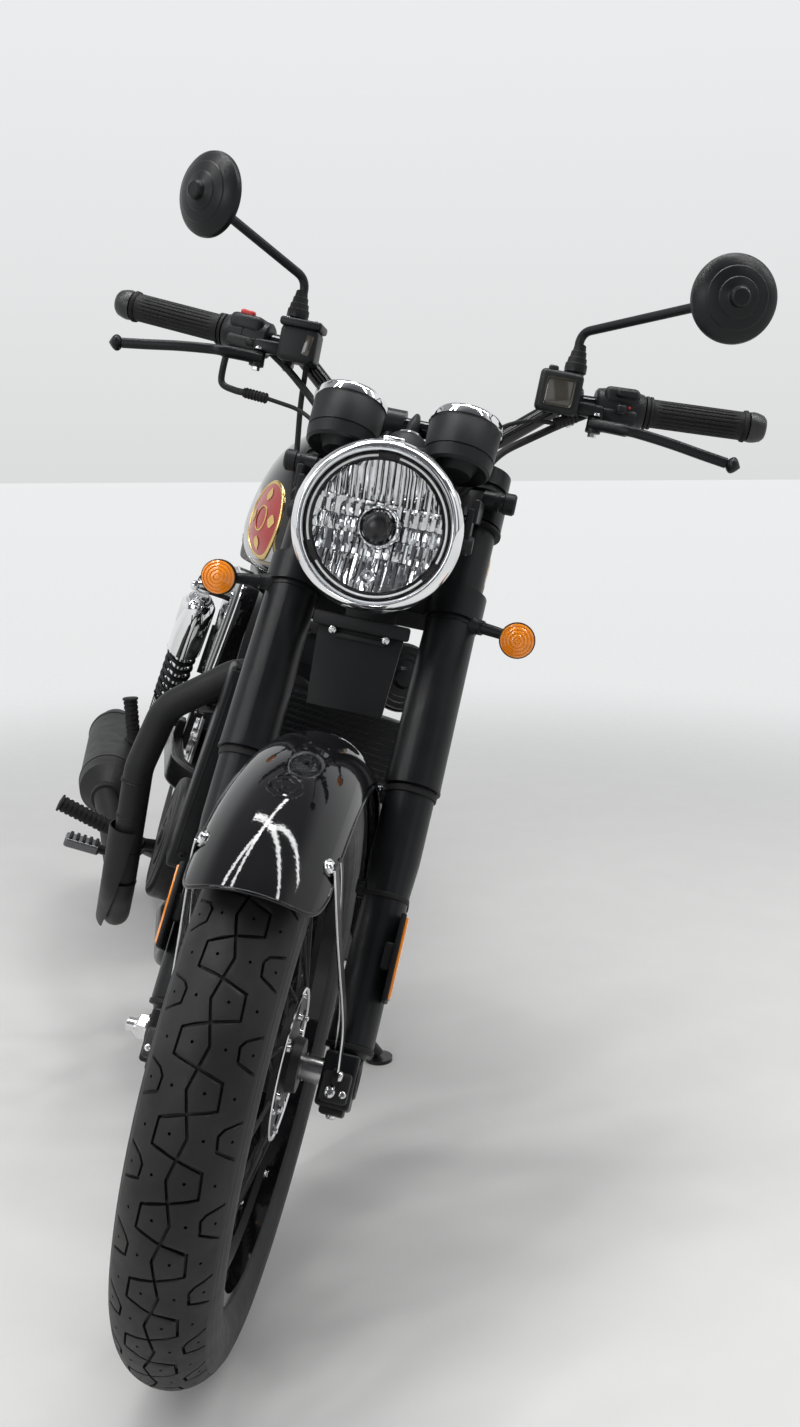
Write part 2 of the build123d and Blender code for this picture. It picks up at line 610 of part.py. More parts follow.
def front_axle():
    outer, inner = CLAMP_X + CLAMP_HALF, CLAMP_X - CLAMP_HALF - CLEARANCE
    bar = rod((-outer - 16, 0, FRONT_RADIUS), (outer - 3, 0, FRONT_RADIUS), FRONT_AXLE_R)
    washer = rod((-outer - CLEARANCE, 0, FRONT_RADIUS), (-outer - 2.5, 0, FRONT_RADIUS), 15)
    nut = Plane(origin=(-outer - 2.5, 0, FRONT_RADIUS), z_dir=(-1, 0, 0)) * extrude(
        RegularPolygon(14, 6), 11)
    left_spacer = rod((FRONT_FLANGE_X + 14.3, 0, FRONT_RADIUS), (inner, 0, FRONT_RADIUS), 14)
    right_end = FRONT_DISC_X - DISC_THICKNESS / 2 - CLEARANCE
    right_spacer = rod((-inner, 0, FRONT_RADIUS), (right_end, 0, FRONT_RADIUS), 14)
    return {"front_axle": bar + nut + washer + left_spacer + right_spacer}


# ---------------------------------------------------------------- frame, engine and bodywork
def main_frame():
    head = turned(stem_point(0), UP_FORK, [
        (YOKE_TOP + 6, STEM_R + RUNNING_FIT), (YOKE_TOP + 6, HEAD_TUBE_R),
        (TOP_YOKE_BOTTOM - 6, HEAD_TUBE_R), (TOP_YOKE_BOTTOM - 6, STEM_R + RUNNING_FIT)])
    spine = pipe([stem_point(655), (0, 560, 858), (0, 742, RAIL_Z + 8)], BACKBONE_R, 120)
    down = pipe([stem_point(638), (0, 404, 620), (0, 424, 430)], 19, 200)
    bored = spine + down - rod(stem_point(500), stem_point(800), HEAD_TUBE_R - 2)
    frame = head + bored
    frame += rod((-CRADLE_X + 8, 424, 432), (CRADLE_X - 8, 424, 432), FRAME_TUBE_R)
    for side in (1, -1):
        x, inner = side * CRADLE_X, side * PLATE_X
        frame += pipe([(side * 60, 424, 432), (x, 434, 380), (x, 470, CRADLE_Z), (x, 690, CRADLE_Z),
                       (inner, 800, CRADLE_Z), (inner, PIVOT_Y - 4, PIVOT_Z), (inner, 800, 560),
                       (inner, 742, RAIL_Z)], FRAME_TUBE_R, [20, 60, 120, 60, 60, 120])
        frame += block((inner, PIVOT_Y - 8, PIVOT_Z), (14, 70, 120), 4)
    frame += rod((-PLATE_X, 742, RAIL_Z), (PLATE_X, 742, RAIL_Z), FRAME_TUBE_R)
    frame += rod((-PLATE_X, 812, CRADLE_Z + 8), (PLATE_X, 812, CRADLE_Z + 8), FRAME_TUBE_R)
    frame += rod((-PLATE_X - 16, PIVOT_Y, PIVOT_Z), (PLATE_X + 16, PIVOT_Y, PIVOT_Z), PIVOT_R)
    frame += block((0, 384, 636), (70, 23.4, 12), 2)
    frame += block((0, 440, 412), (70, 19.4, 40), 2)
    lug = block((CRADLE_X + 14, STAND_PIVOT_Y, CRADLE_Z + 10), (20, 36, 40), 3)
    return {"main_frame": frame + lug + stand_bracket() - stand_room()}


def subframe():
    rails = None
    for side in (1, -1):
        x, inner = side * CRADLE_X, side * PLATE_X
        rail = pipe([(inner, 744, RAIL_Z), (x, 880, RAIL_Z), (x, 1160, RAIL_Z + 4),
                     (x * 0.9, 1330, RAIL_Z + 24), (x * 0.85, 1480, RAIL_Z + 48)], 12, 150)
        strut = pipe([(inner, PIVOT_Y - 10, PIVOT_Z + 52), (x, 1040, 570), (x, 1131, RAIL_Z)], 10, 120)
        bracket = block((side * 107, 1131, 690), (44, 34, 60), 4)
        shock_pin = rod((side * 110, 1131, SHOCK_TOP_Z), (side * (SHOCK_TOP_X + 13), 1131, SHOCK_TOP_Z),
                        SHOCK_PIN_R)
        piece = rail + strut + bracket + shock_pin
        rails = piece if rails is None else rails + piece
    rails += rod((-CRADLE_X, 1010, RAIL_Z), (CRADLE_X, 1010, RAIL_Z), 10)
    rails += rod((-CRADLE_X * 0.9, 1330, RAIL_Z + 24), (CRADLE_X * 0.9, 1330, RAIL_Z + 24), 10)
    rails += rod((-CRADLE_X * 0.85, 1480, RAIL_Z + 48), (CRADLE_X * 0.85, 1480, RAIL_Z + 48), 12)
    for y, top in ((1330, RAIL_Z + 24), (1480, RAIL_Z + 48)):
        rails += block((0, y, top - 42), (60, 20, 72), 2)
    rails -= rod((-99, WHEELBASE, REAR_RADIUS), (99, WHEELBASE, REAR_RADIUS), REAR_GUARD_R + CLEARANCE)
    return {"subframe": rails}


def engine():
    outline = Polyline((450, 268), (484, CASE_LOW), (768, CASE_LOW), (786, 252), (786, 404), (764, 458),
                       (652, 458), (622, 428), (450, 428), close=True)
    side = Plane(origin=(-CASE_HALF_WIDTH, 0, 0), x_dir=(0, 1, 0), z_dir=(1, 0, 0))
    case = extrude(side * make_face(outline), 2 * CASE_HALF_WIDTH)
    case = fillet(case.edges().filter_by(Axis.X), 12)
    case = fillet(case.faces().filter_by(Axis.X).edges(), 5)
    foot = Plane(origin=(0, 552, 424), x_dir=(1, 0, 0), z_dir=(
        0, -math.sin(math.radians(BARREL_TILT_DEG)), math.cos(math.radians(BARREL_TILT_DEG))))
    low = (Align.CENTER, Align.CENTER, Align.MIN)
    barrel = foot * Pos(0, 0, 3) * Box(112, 118, BARREL_HEIGHT - 3, align=low)
    for i in range(7):
        fin = Box(138, 144, 4.5, align=low)
        barrel += foot * Pos(0, 0, 12 + 14.5 * i) * fillet(fin.edges().filter_by(Axis.Z), 16)
    head = foot * Pos(0, 0, BARREL_HEIGHT) * fillet(Box(144, 156, 70, align=low).edges(), 8)
    cover = foot * Pos(0, -4, BARREL_HEIGHT + 66) * fillet(Box(152, 128, 46, align=low).edges(), 12)
    intake = rod((0, 600, 590), (0, 760, 626), 25)
    intake += rod((0, 668, 605), (0, 700, 612), 33)
    airbox = fillet(block((0, 835, 632), (96, 236, 112)).edges(), 14)
    covers = [
        fillet(rod((-CASE_HALF_WIDTH - CLEARANCE, 630, 340), (-132, 630, 340), 92).edges(), 10),
        fillet(rod((CASE_HALF_WIDTH + CLEARANCE, 560, 335), (118, 560, 335), 84).edges(), 10),
        fillet(block((CASE_HALF_WIDTH + 24, 730, 345), (47, 150, 112)).edges(), 10),
    ]
    left = covers[1] + (covers[2] - chain_room(12))
    return {"crankcase": case, "cylinder": barrel - case, "cylinder_head": head + cover - barrel,
            "engine_covers": solids_of(covers[0], left), "airbox": airbox + (intake - head - cover)}


def radiator():
    core = block((0, 356, 538), (226, 32, 224), 3)
    for side in (1, -1):
        core += block((side * 126.3, 360, 520), (26, 44, 272), 6)
    return {"radiator": core}


def lofted(sections, points_of):
    faces = []
    for y, half_width, low, high in sections:
        face = Plane(origin=(0, y, 0), x_dir=(1, 0, 0), z_dir=(0, -1, 0)) * make_face(
            Spline(*points_of(half_width, low, high), periodic=True))
        faces.append(face)
    return loft(Sketch() + faces)


def tank_section(w, low, high):
    h = high - low
    right = [(0.5 * w, high - 0.05 * h), (0.86 * w, high - 0.25 * h), (w, high - 0.55 * h),
             (0.92 * w, low + 0.1 * h), (0.55 * w, low)]
    left = [(-x, z) for x, z in reversed(right)]
    return [(0, high)] + right + left


def fuel_tank():
    sections = [(392, 84, 812, 925), (412, 120, 786, 956), (450, 150, 768, 985), (530, 166, 757, 1002),
                (640, 158, 752, 998), (740, 132, 752, 966), (810, 104, 756, 918), (836, 86, 764, 888)]
    tank = lofted(sections, tank_section)
    tunnel = pipe([stem_point(640), (0, 560, 858), (0, 760, 720)], BACKBONE_R + 9, 120)
    tunnel += block((0, 560, 780), (2 * BACKBONE_R + 18, 640, 130))
    head_clear = rod(stem_point(500), stem_point(800), HEAD_TUBE_R + 8)
    cap = turned((0, 560, 0), (0, 0, 1), [(1002.6, 0), (1002.6, 34), (1008, 34), (1012, 29), (1012, 0)])
    neck = turned((0, 560, 0), (0, 0, 1), [(990, 0), (990, 38), (1002.3, 38), (1002.3, 0)])
    seat_of_cap = Plane(origin=(0, 560, 1002.3)) * Cylinder(
        37, 30, align=(Align.CENTER, Align.CENTER, Align.MIN))
    tank = tank + neck - tunnel - head_clear - seat_of_cap
    for turn in (STEER_LOCK_DEG, -STEER_LOCK_DEG):
        tank -= top_yoke_room(turn)
    return {"fuel_tank": tank, "fuel_cap": cap}


def seat_section(w, low, high):
    h = high - low
    right = [(0.6 * w, high - 0.03 * h), (0.92 * w, high - 0.2 * h), (w, high - 0.5 * h),
             (0.94 * w, low + 0.08 * h), (0.6 * w, low)]
    left = [(-x, z) for x, z in reversed(right)]
    return [(0, high)] + right + left


def seat():
    sections = [(842, 80, 768, 862), (930, 128, 740, 806), (1060, 140, 738, 800), (1210, 132, 748, 828),
                (1450, 96, 784, 834)]
    return {"seat": lofted(sections, seat_section)}


def side_covers():
    def one(side):
        plate = Plane(origin=(side * 97.3, 0, 0), x_dir=(0, 1, 0), z_dir=(1, 0, 0)) * make_face(
            Polyline((800, 700), (850, 724), (1000, 726), (1095, 722), (1080, 640), (990, 520),
                     (900, 480), (850, 560), close=True))
        shell = extrude(plate, side * 36)
        shell = fillet(shell.edges(), 4)
        return shell
    return {"side_covers": both(one)}


def rear_mudguard():
    begin, span = 32, 122
    start = Plane(origin=REAR_AXLE, x_dir=(1, 0, 0),
                  z_dir=Vector(1, 0, 0).cross(Vector(0, math.cos(math.radians(begin)),
                                                     math.sin(math.radians(begin)))))
    guard = revolve(start * make_face(guard_section(REAR_GUARD_R, 88, 52)),
                    axis=Axis(REAR_AXLE, (1, 0, 0)), revolution_arc=span)
    plate_arm = block((0, PLATE_Y - 48, 520), (44, 100, 10), 2)
    plate = block((0, PLATE_Y, 470), (180, PLATE_THICKNESS, 120), 2)
    for side in (1, -1):
        plate -= rod((side * PLATE_HOLE_X, PLATE_Y - 9, PLATE_HOLE_Z),
                     (side * PLATE_HOLE_X, PLATE_Y + 9, PLATE_HOLE_Z), PLATE_HOLE_R)
    lamp = turned((0, 1640, 632), (0, 1, 0), [(0, 0), (0, 34), (36, 40), (58, 40), (64, 0)])
    stem = rod((-128, 1672, 632), (128, 1672, 632), 7)
    bodies = stem
    for side in (1, -1):
        bodies += turned((side * 140, 1672, 632), (0, 1, 0), [
            (-22, 0), (-16, 14), (-6, INDICATOR_R), (8, INDICATOR_R), (12, 0)])
    lights = lamp + bodies
    holder = guard + plate_arm + plate
    return {"rear_mudguard": holder, "tail_lights": lights - guard}


def rear_suspension():
    arms = None
    for side in (1, -1):
        x = side * ARM_X
        arm = pipe_box([(side * 34, PIVOT_Y, PIVOT_Z), (side * 38, 945, 344), (x, 1050, 338),
                        (x, WHEELBASE + 24, REAR_RADIUS)], ARM_WIDTH, 50)
        arm += block((x, SHOCK_LOW_Y, 362), (18, 44, 44), 3)
        arm += rod((x, SHOCK_LOW_Y, SHOCK_LOW_Z), (side * (SHOCK_LOW_X + 13), SHOCK_LOW_Y, SHOCK_LOW_Z),
                   SHOCK_PIN_R)
        arms = arm if arms is None else arms + arm
    pivot_half = PLATE_X - FRAME_TUBE_R - CLEARANCE
    arms += rod((-pivot_half, PIVOT_Y, PIVOT_Z), (pivot_half, PIVOT_Y, PIVOT_Z), 27)
    arms += block((0, 980, 342), (120, 40, 40), 4)
    arms -= rod((-200, PIVOT_Y, PIVOT_Z), (200, PIVOT_Y, PIVOT_Z), PIVOT_R + CLEARANCE)
    for side in (1, -1):
        face = side * (ARM_X + ARM_WIDTH / 2)
        arms -= rod((face + side, SPOOL_Y, SPOOL_Z), (face - side * SPOOL_HOLE_DEPTH, SPOOL_Y, SPOOL_Z),
                    SPOOL_HOLE_R)
    arms -= rod((-200, WHEELBASE, REAR_RADIUS), (200, WHEELBASE, REAR_RADIUS), REAR_AXLE_R + CLEARANCE)
    axle = rod((-138, WHEELBASE, REAR_RADIUS), (138, WHEELBASE, REAR_RADIUS), REAR_AXLE_R)
    for side in (1, -1):
        axle += Plane(origin=(side * 129.5, WHEELBASE, REAR_RADIUS), z_dir=(side, 0, 0)) * extrude(
            RegularPolygon(17, 6), 12)
    axle += rod((CHAIN_X + 2.3, WHEELBASE, REAR_RADIUS), (ARM_X - 13.3, WHEELBASE, REAR_RADIUS), 17)
    axle += rod((REAR_DISC_X - 2.8, WHEELBASE, REAR_RADIUS), (13.3 - ARM_X, WHEELBASE, REAR_RADIUS), 17)

    def shock(side):
        top = Vector(side * SHOCK_TOP_X, 1131, SHOCK_TOP_Z)
        bottom = Vector(side * SHOCK_LOW_X, SHOCK_LOW_Y, SHOCK_LOW_Z)
        along = (top - bottom).normalized()
        body = turned(bottom, along, [
            (14, 0), (14, 26), (60, 26), (60, 15), (250, 15), (250, 30), (316, 30), (330, 22), (340, 0)])
        body += rod(bottom - Vector(11, 0, 0), bottom + Vector(11, 0, 0), 18)
        body += rod(top - Vector(11, 0, 0), top + Vector(11, 0, 0), 18)
        for eye in (bottom, top):
            body -= rod(eye - Vector(30, 0, 0), eye + Vector(30, 0, 0), SHOCK_PIN_R + CLEARANCE)
        return body

    def spring(side):
        top = Vector(side * SHOCK_TOP_X, 1131, SHOCK_TOP_Z)
        bottom = Vector(side * SHOCK_LOW_X, SHOCK_LOW_Y, SHOCK_LOW_Z)
        along = (top - bottom).normalized()
        return turned(bottom, along, [(60.3, 19), (60.3, 29), (249.7, 29), (249.7, 19)])
    return {"swingarm": arms, "rear_axle": axle, "rear_shocks": both(shock),
            "shock_springs": both(spring)}


def pipe_box(points, width, height):
    path = FilletPolyline(*points, radius=200)
    section = Plane(origin=path @ 0, x_dir=(1, 0, 0), z_dir=path % 0) * RectangleRounded(width, height, 6)
    return sweep(section, path=path)


def rear_brake():
    body = block(REAR_AXLE + Vector(REAR_DISC_X - 1, -60, 100), (40, 84, 50), 6)
    slot = rod(REAR_AXLE + Vector(REAR_DISC_X - 4.5, 0, 0), REAR_AXLE + Vector(REAR_DISC_X + 4.5, 0, 0),
               REAR_DISC_R + 4)
    hanger = block(REAR_AXLE + Vector(13.3 + 7 - ARM_X, -50, 42), (14, 44, 84), 3)
    return {"rear_caliper": body + hanger - slot}


def exhaust():
    header = pipe([(-34, 436, 590), (-34, 416, 640), (-120, 420, 640), (-196, 440, 560), (-204, 452, 470),
                   (-176, 480, 300), (-165, 560, 226), (-165, 740, 214), (-205, 900, 268),
                   (-222, 948, 286)], HEADER_R, [16, 40, 60, 90, 90, 70, 110, 90])
    muffler = turned((-220, 940, 284), (-14, 520, 22), [
        (6, 0), (6, 22), (24, 22), (60, 47), (90, 50), (440, 50), (446, 42), (500, 38), (504, 0)])
    shield, studs = guard_plate()
    for stud in studs:
        shield += stud
    return {"exhaust_header": header - muffler, "muffler": muffler, "heat_shield": shield - header}


def guard_plate():
    """A curved plate over the outer side of the header's lower bend, on two studs."""
    route = [(-190, 466, 385), (-176, 480, 300), (-165, 560, 226)]
    shell = pipe(route, HEADER_R + 8, 70) - pipe(route, HEADER_R + 6, 70)
    shell = shell & block((-215, 500, 310), (70, 200, 220))
    studs = [rod((-200, 475, 350), (-180, 475, 350), 4), rod((-196, 490, 292), (-176, 490, 292), 4)]
    return [shell, studs]


def chain_loop(grow):
    """The chain's outline in the Y-Z plane, grown outwards from its pitch line."""
    a, b = (CHAIN_FRONT_Y, CHAIN_FRONT_Z), (WHEELBASE, REAR_RADIUS)
    small, large = FRONT_SPROCKET_R + grow, SPROCKET_R + grow
    tilt = math.atan2(b[1] - a[1], b[0] - a[0])
    spread = math.asin((large - small) / math.dist(a, b))

    def on(centre, radius, angle):
        return (centre[0] + radius * math.cos(angle), centre[1] + radius * math.sin(angle))
    up, down = tilt + math.pi / 2 + spread, tilt - math.pi / 2 - spread
    up_a, up_b, low_a, low_b = on(a, small, up), on(b, large, up), on(a, small, down), on(b, large, down)
    far_a, far_b = on(a, small, tilt + math.pi), on(b, large, tilt)
    return make_face([Line(up_a, up_b), ThreePointArc(up_b, far_b, low_b), Line(low_b, low_a),
                      ThreePointArc(low_a, far_a, up_a)])


def chain_room(grow):
    """The closed band inside the chain's outline, grown: what the chain needs to pass."""
    plane = Plane(origin=(CHAIN_X - CHAIN_WIDTH / 2 - 3, 0, 0), x_dir=(0, 1, 0), z_dir=(1, 0, 0))
    return extrude(plane * chain_loop(grow), CHAIN_WIDTH + 6)


def drive():
    plane = Plane(origin=(CHAIN_X - CHAIN_WIDTH / 2, 0, 0), x_dir=(0, 1, 0), z_dir=(1, 0, 0))
    half = CHAIN_HEIGHT / 2
    chain = extrude(plane * (chain_loop(half) - chain_loop(-half)), CHAIN_WIDTH)
    guard = block((CHAIN_X + 2, 1240, 446), (24, 260, 3), 1)
    guard += block((CHAIN_X + 13, 1240, 420), (3, 260, 52), 1)
    guard += block((ARM_X - 9, 1240, 385), (10, 16, 80), 2)
    return {"drive_chain": chain, "chain_guard": guard}


def foot_pieces():
    def peg(side):
        rider = rod((side * 150, 735, 286), (side * 286, 731, 314), 11)
        rider += rod((side * (PLATE_X + FRAME_TUBE_R), 838, 268), (side * 152, 738, 286), 9)
        return rider

    def passenger(side):
        hanger = pipe([(side * CRADLE_X, 1010, 536), (side * 150, 1002, 470),
                       (side * 205, 1000, 385)], 9, 60)
        fold = rod((side * 205, 1000, 385), (side * 232, 1000, 452), 11)
        return hanger + fold
    pedal = pipe([(-142, 800, 262), (-168, 700, 262), (-196, 632, 290)], 7, 40)
    pedal += block((-240, 612, 298), (52, 34, 14), 4)
    pedal += rod((-196, 632, 290), (-222, 618, 296), 7)
    pedal += rod((-PLATE_X - 8, 818, 244), (-148, 800, 262), 9)
    shift = pipe([(136, 700, 300), (150, 640, 300), (172, 600, 300)], 6, 30)
    shift += rod((168, 604, 300), (232, 596, 302), 9)
    shift += rod((CASE_HALF_WIDTH + 48, 700, 310), (142, 700, 300), 8)
    return {"rider_pegs": both(peg), "passenger_pegs": both(passenger),
            "brake_pedal": pedal, "gear_lever": shift}


# ---------------------------------------------------------------- side stand
STAND_PIVOT_Y = 640
STAND_PIVOT = Vector(CRADLE_X + 40, STAND_PIVOT_Y, CRADLE_Z + 30)
STAND_FOLDED = Vector(0.12, 0.985, -0.06).normalized()     # the leg's direction when folded
STAND_TILT = Vector(0.8, 0.1, 0.6)                         # about where its pivot bolt points
STAND_BOLT_R = 5
STAND_REACH = 312             # the foot's distance from the tyres' line, on the ground
STAND_BACK = 600


# ---------------------------------------------------------------- pose on the ground
def steered(shape):
    return shape.rotate(Axis(STEER_FOOT, UP_FORK), STEER_DEG)


def tyre_height(centre, axle, radius, crown):
    """Height of a tyre's lowest point: a torus of the crown's radius."""
    return centre.Z - (radius - crown) * math.sqrt(1 - axle.Z ** 2) - crown


def turn_about(vector, axis, degrees):
    return vector.rotate(Axis((0, 0, 0), axis), degrees)


def settle():
    """Pitch and height that set both leaned tyres on the ground."""
    lean_axis = (0, 1, 0)
    front_centre = turn_about(FRONT_AXLE - STEER_FOOT, UP_FORK, STEER_DEG) + STEER_FOOT
    front_dir = turn_about(Vector(1, 0, 0), UP_FORK, STEER_DEG)
    pitch = 0
    for _ in range(6):
        places = []
        for centre, direction in ((front_centre, front_dir), (REAR_AXLE, Vector(1, 0, 0))):
            places.append([turn_about(turn_about(v, lean_axis, LEAN_DEG), (1, 0, 0), pitch)
                           for v in (centre, direction)])
        front = tyre_height(places[0][0], places[0][1], FRONT_RADIUS, FRONT_CROWN)
        rear = tyre_height(places[1][0], places[1][1], REAR_RADIUS, REAR_CROWN)
        pitch -= math.degrees(math.atan2(rear - front, WHEELBASE))
    return pitch, -rear


PITCH_DEG, LIFT = settle()


def lift_back(point):
    """From the ground's frame back to the upright layout."""
    raised = Vector(point) - Vector(0, 0, LIFT)
    return turn_about(turn_about(raised, (1, 0, 0), -PITCH_DEG), (0, 1, 0), -LEAN_DEG)


SOLE = lift_back((STAND_REACH, STAND_BACK, 0))
SOLE_UP = (lift_back((STAND_REACH, STAND_BACK, 10)) - SOLE).normalized()
ANKLE = SOLE + SOLE_UP * 9
STAND_OPEN = (ANKLE - STAND_PIVOT).normalized()


def stand_hinge():
    """The bolt's direction, at one angle to the open and the folded leg, and the fold's angle."""
    swing = STAND_OPEN - STAND_FOLDED
    axis = (STAND_TILT - swing * (STAND_TILT.dot(swing) / swing.dot(swing))).normalized()
    flat = [leg - axis * leg.dot(axis) for leg in (STAND_OPEN, STAND_FOLDED)]
    return axis, flat[0].get_angle(flat[1])


STAND_AXIS, STAND_FOLD_DEG = stand_hinge()


def side_stand():
    """The leg ends in a flat foot that lies on the ground when the machine leans."""
    foot = Plane(origin=SOLE, x_dir=(0, 1, 0), z_dir=SOLE_UP) * Cylinder(
        21, 6, align=(Align.CENTER, Align.CENTER, Align.MIN))
    knee = STAND_PIVOT + (ANKLE - STAND_PIVOT) * 0.45 + Vector(-4, -6, -6)
    leg = pipe([STAND_PIVOT, knee, ANKLE], 8.5, 80)
    boss = rod(STAND_PIVOT - STAND_AXIS * 8, STAND_PIVOT + STAND_AXIS * 8, 16)
    feeler = pipe([knee, knee + Vector(26, -30, 22), knee + Vector(44, -34, 30)], 4, 14)
    bore = rod(STAND_PIVOT - STAND_AXIS * 20, STAND_PIVOT + STAND_AXIS * 20, STAND_BOLT_R + RUNNING_FIT)
    return {"side_stand": leg + foot + boss + feeler - bore}


def stand_bracket():
    """The frame's lug under the stand's boss, with the bolt that it turns on."""
    start = Vector(CRADLE_X + 14, STAND_PIVOT_Y, CRADLE_Z + 10)
    tab = rod(STAND_PIVOT - STAND_AXIS * 20, STAND_PIVOT - STAND_AXIS * 8.3, 15)
    bolt = rod(STAND_PIVOT - STAND_AXIS * 12, STAND_PIVOT + STAND_AXIS * 9, STAND_BOLT_R)
    return tab + bolt + rod(start, STAND_PIVOT - STAND_AXIS * 15, 12)


def stand_room():
    """Room for the boss and the leg over the lug, round the bolt."""
    room = rod(STAND_PIVOT - STAND_AXIS * 8.3, STAND_PIVOT + STAND_AXIS * 30, 40)
    return room - rod(STAND_PIVOT - STAND_AXIS * 12, STAND_PIVOT + STAND_AXIS * 9, STAND_BOLT_R)


BODIES = {}


def build():
    steering = {}
    for part in (fork(), headlamp(), gauges(), handlebar(), mirrors(), front_indicators(),
                 front_mudguard(), front_brake(), front_axle(), cables(), wiring()):
        steering.update(part)
    front = front_wheel()
    rear = rear_wheel()
    steering["fork_yokes"] -= steering["handlebar"]
    steering["gauges"] -= steering["fork_yokes"]
    steering["under_lamp_panel"] -= steering["fork_yokes"]
    steering["headlamp_shell"] -= steering["fork_yokes"]
    steering["front_indicators"] -= steering["fork_yokes"] + steering["fork_covers"]
    steering["mudguard_stays"] -= steering["fork_legs"]
    steering["control_cables"] -= steering["fork_yokes"]
    for name in ("control_perches", "switch_housings"):
        steering["control_cables"] -= steering[name]
    for name in ("control_perches", "front_caliper"):
        steering["brake_hose"] -= steering[name]
    for name in ("headlamp_shell", "switch_housings", "control_perches", "handlebar"):
        steering["wiring"] -= steering[name]
    fixed = {}
    for part in (main_frame(), subframe(), engine(), radiator(), fuel_tank(), seat(), side_covers(),
                 rear_mudguard(), rear_suspension(), rear_brake(), exhaust(), drive(), foot_pieces()):
        fixed.update(part)
    fixed["subframe"] -= fixed["main_frame"]
    fixed["fuel_tank"] -= fixed["main_frame"]
    fixed["side_covers"] -= fixed["subframe"]
    fixed["seat"] -= fixed["subframe"]
    for name in ("brake_pedal", "rider_pegs", "exhaust_header"):
        fixed[name] -= fixed["main_frame"]
    fixed["gear_lever"] -= fixed["engine_covers"]
    fixed["chain_guard"] -= fixed["swingarm"]
    fixed["passenger_pegs"] -= fixed["subframe"]
    fixed["rear_mudguard"] -= fixed["subframe"]
    stand = side_stand()
    BODIES.update({"frame": fixed, "steering": steering, "front_wheel": front, "rear_wheel": rear,
                   "side_stand": stand})
    nodes = {}
    for body, group in BODIES.items():
        for name, shape in group.items():
            if body in ("steering", "front_wheel"):
                shape = steered(shape)
            shape = shape.rotate(Axis((0, 0, 0), (0, 1, 0)), LEAN_DEG)
            shape = shape.rotate(Axis((0, 0, 0), (1, 0, 0)), PITCH_DEG)
            nodes[name] = shape.moved(Location((0, 0, LIFT)))
    return nodes


def centred(nodes):
    """The shift that puts the origin at the bottom centre of the whole machine."""
    boxes = [shape.bounding_box() for shape in nodes.values()]
    low = [min(getattr(b.min, k) for b in boxes) for k in "XYZ"]
    high = [max(getattr(b.max, k) for b in boxes) for k in "XYZ"]
    return Vector(-(low[0] + high[0]) / 2, -(low[1] + high[1]) / 2, 0)


if __name__ == "__main__":
    os.makedirs("parts", exist_ok=True)
    NODES = build()
    SHIFT = centred(NODES)
    for name, shape in NODES.items():
        export_step(Compound(children=shape.moved(Location(SHIFT)).solids()), f"parts/{name}.step")
    print(len(NODES), "nodes, shift", SHIFT, "pitch", PITCH_DEG, "lift", LIFT,
          "stand fold", STAND_FOLD_DEG)
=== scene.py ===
"""A retro road motorcycle on its side stand: the looks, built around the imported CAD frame.

Every piece is made upright and straight ahead, in metres: the origin is the front tyre's contact point,
+X is the rider's left, +Y the back and +Z up. PLACE then leans it with the machine, and turns it with the
bars if it steers.
"""
import json
import math

import bmesh
import bpy
from mathutils import Matrix, Vector
from mathutils.bvhtree import BVHTree
from mathutils.geometry import delaunay_2d_cdt


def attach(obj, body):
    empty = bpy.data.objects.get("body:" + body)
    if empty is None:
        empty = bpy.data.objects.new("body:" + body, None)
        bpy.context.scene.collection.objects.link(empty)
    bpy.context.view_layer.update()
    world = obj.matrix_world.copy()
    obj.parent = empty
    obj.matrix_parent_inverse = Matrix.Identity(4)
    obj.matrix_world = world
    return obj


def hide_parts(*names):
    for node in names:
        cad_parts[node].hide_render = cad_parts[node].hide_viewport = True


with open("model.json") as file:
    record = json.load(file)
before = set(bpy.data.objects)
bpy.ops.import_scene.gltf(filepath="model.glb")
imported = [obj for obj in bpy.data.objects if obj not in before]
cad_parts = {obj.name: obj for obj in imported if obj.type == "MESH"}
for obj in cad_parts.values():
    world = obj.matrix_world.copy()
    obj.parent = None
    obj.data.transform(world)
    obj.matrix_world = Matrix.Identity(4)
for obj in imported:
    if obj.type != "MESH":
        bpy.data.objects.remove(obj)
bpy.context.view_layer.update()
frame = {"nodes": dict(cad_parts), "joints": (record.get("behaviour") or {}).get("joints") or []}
NODES = frame["nodes"]
X, Y, Z = Vector((1, 0, 0)), Vector((0, 1, 0)), Vector((0, 0, 1))

# ---------------------------------------------------------------------- how it stands
# The rear axle gives the rider's left and the steering axis gives the fork's rake, so the two together
# say how far the whole machine leans. The front axle, turned from the rear one, says how far the bars
# are turned.
RAKE = math.radians(26.5)
WHEELBASE, FRONT_TYRE_R, REAR_TYRE_R = 1.425, 0.319, 0.321
FRONT_AXLE, REAR_AXLE = Vector((0, 0, FRONT_TYRE_R)), Vector((0, WHEELBASE, REAR_TYRE_R))
UP_FORK = Vector((0, math.sin(RAKE), math.cos(RAKE)))
JOINTS = {joint["name"]: joint for joint in frame["joints"]}


def joint_axis(name):
    return Vector(JOINTS[name]["axis"]).normalized()


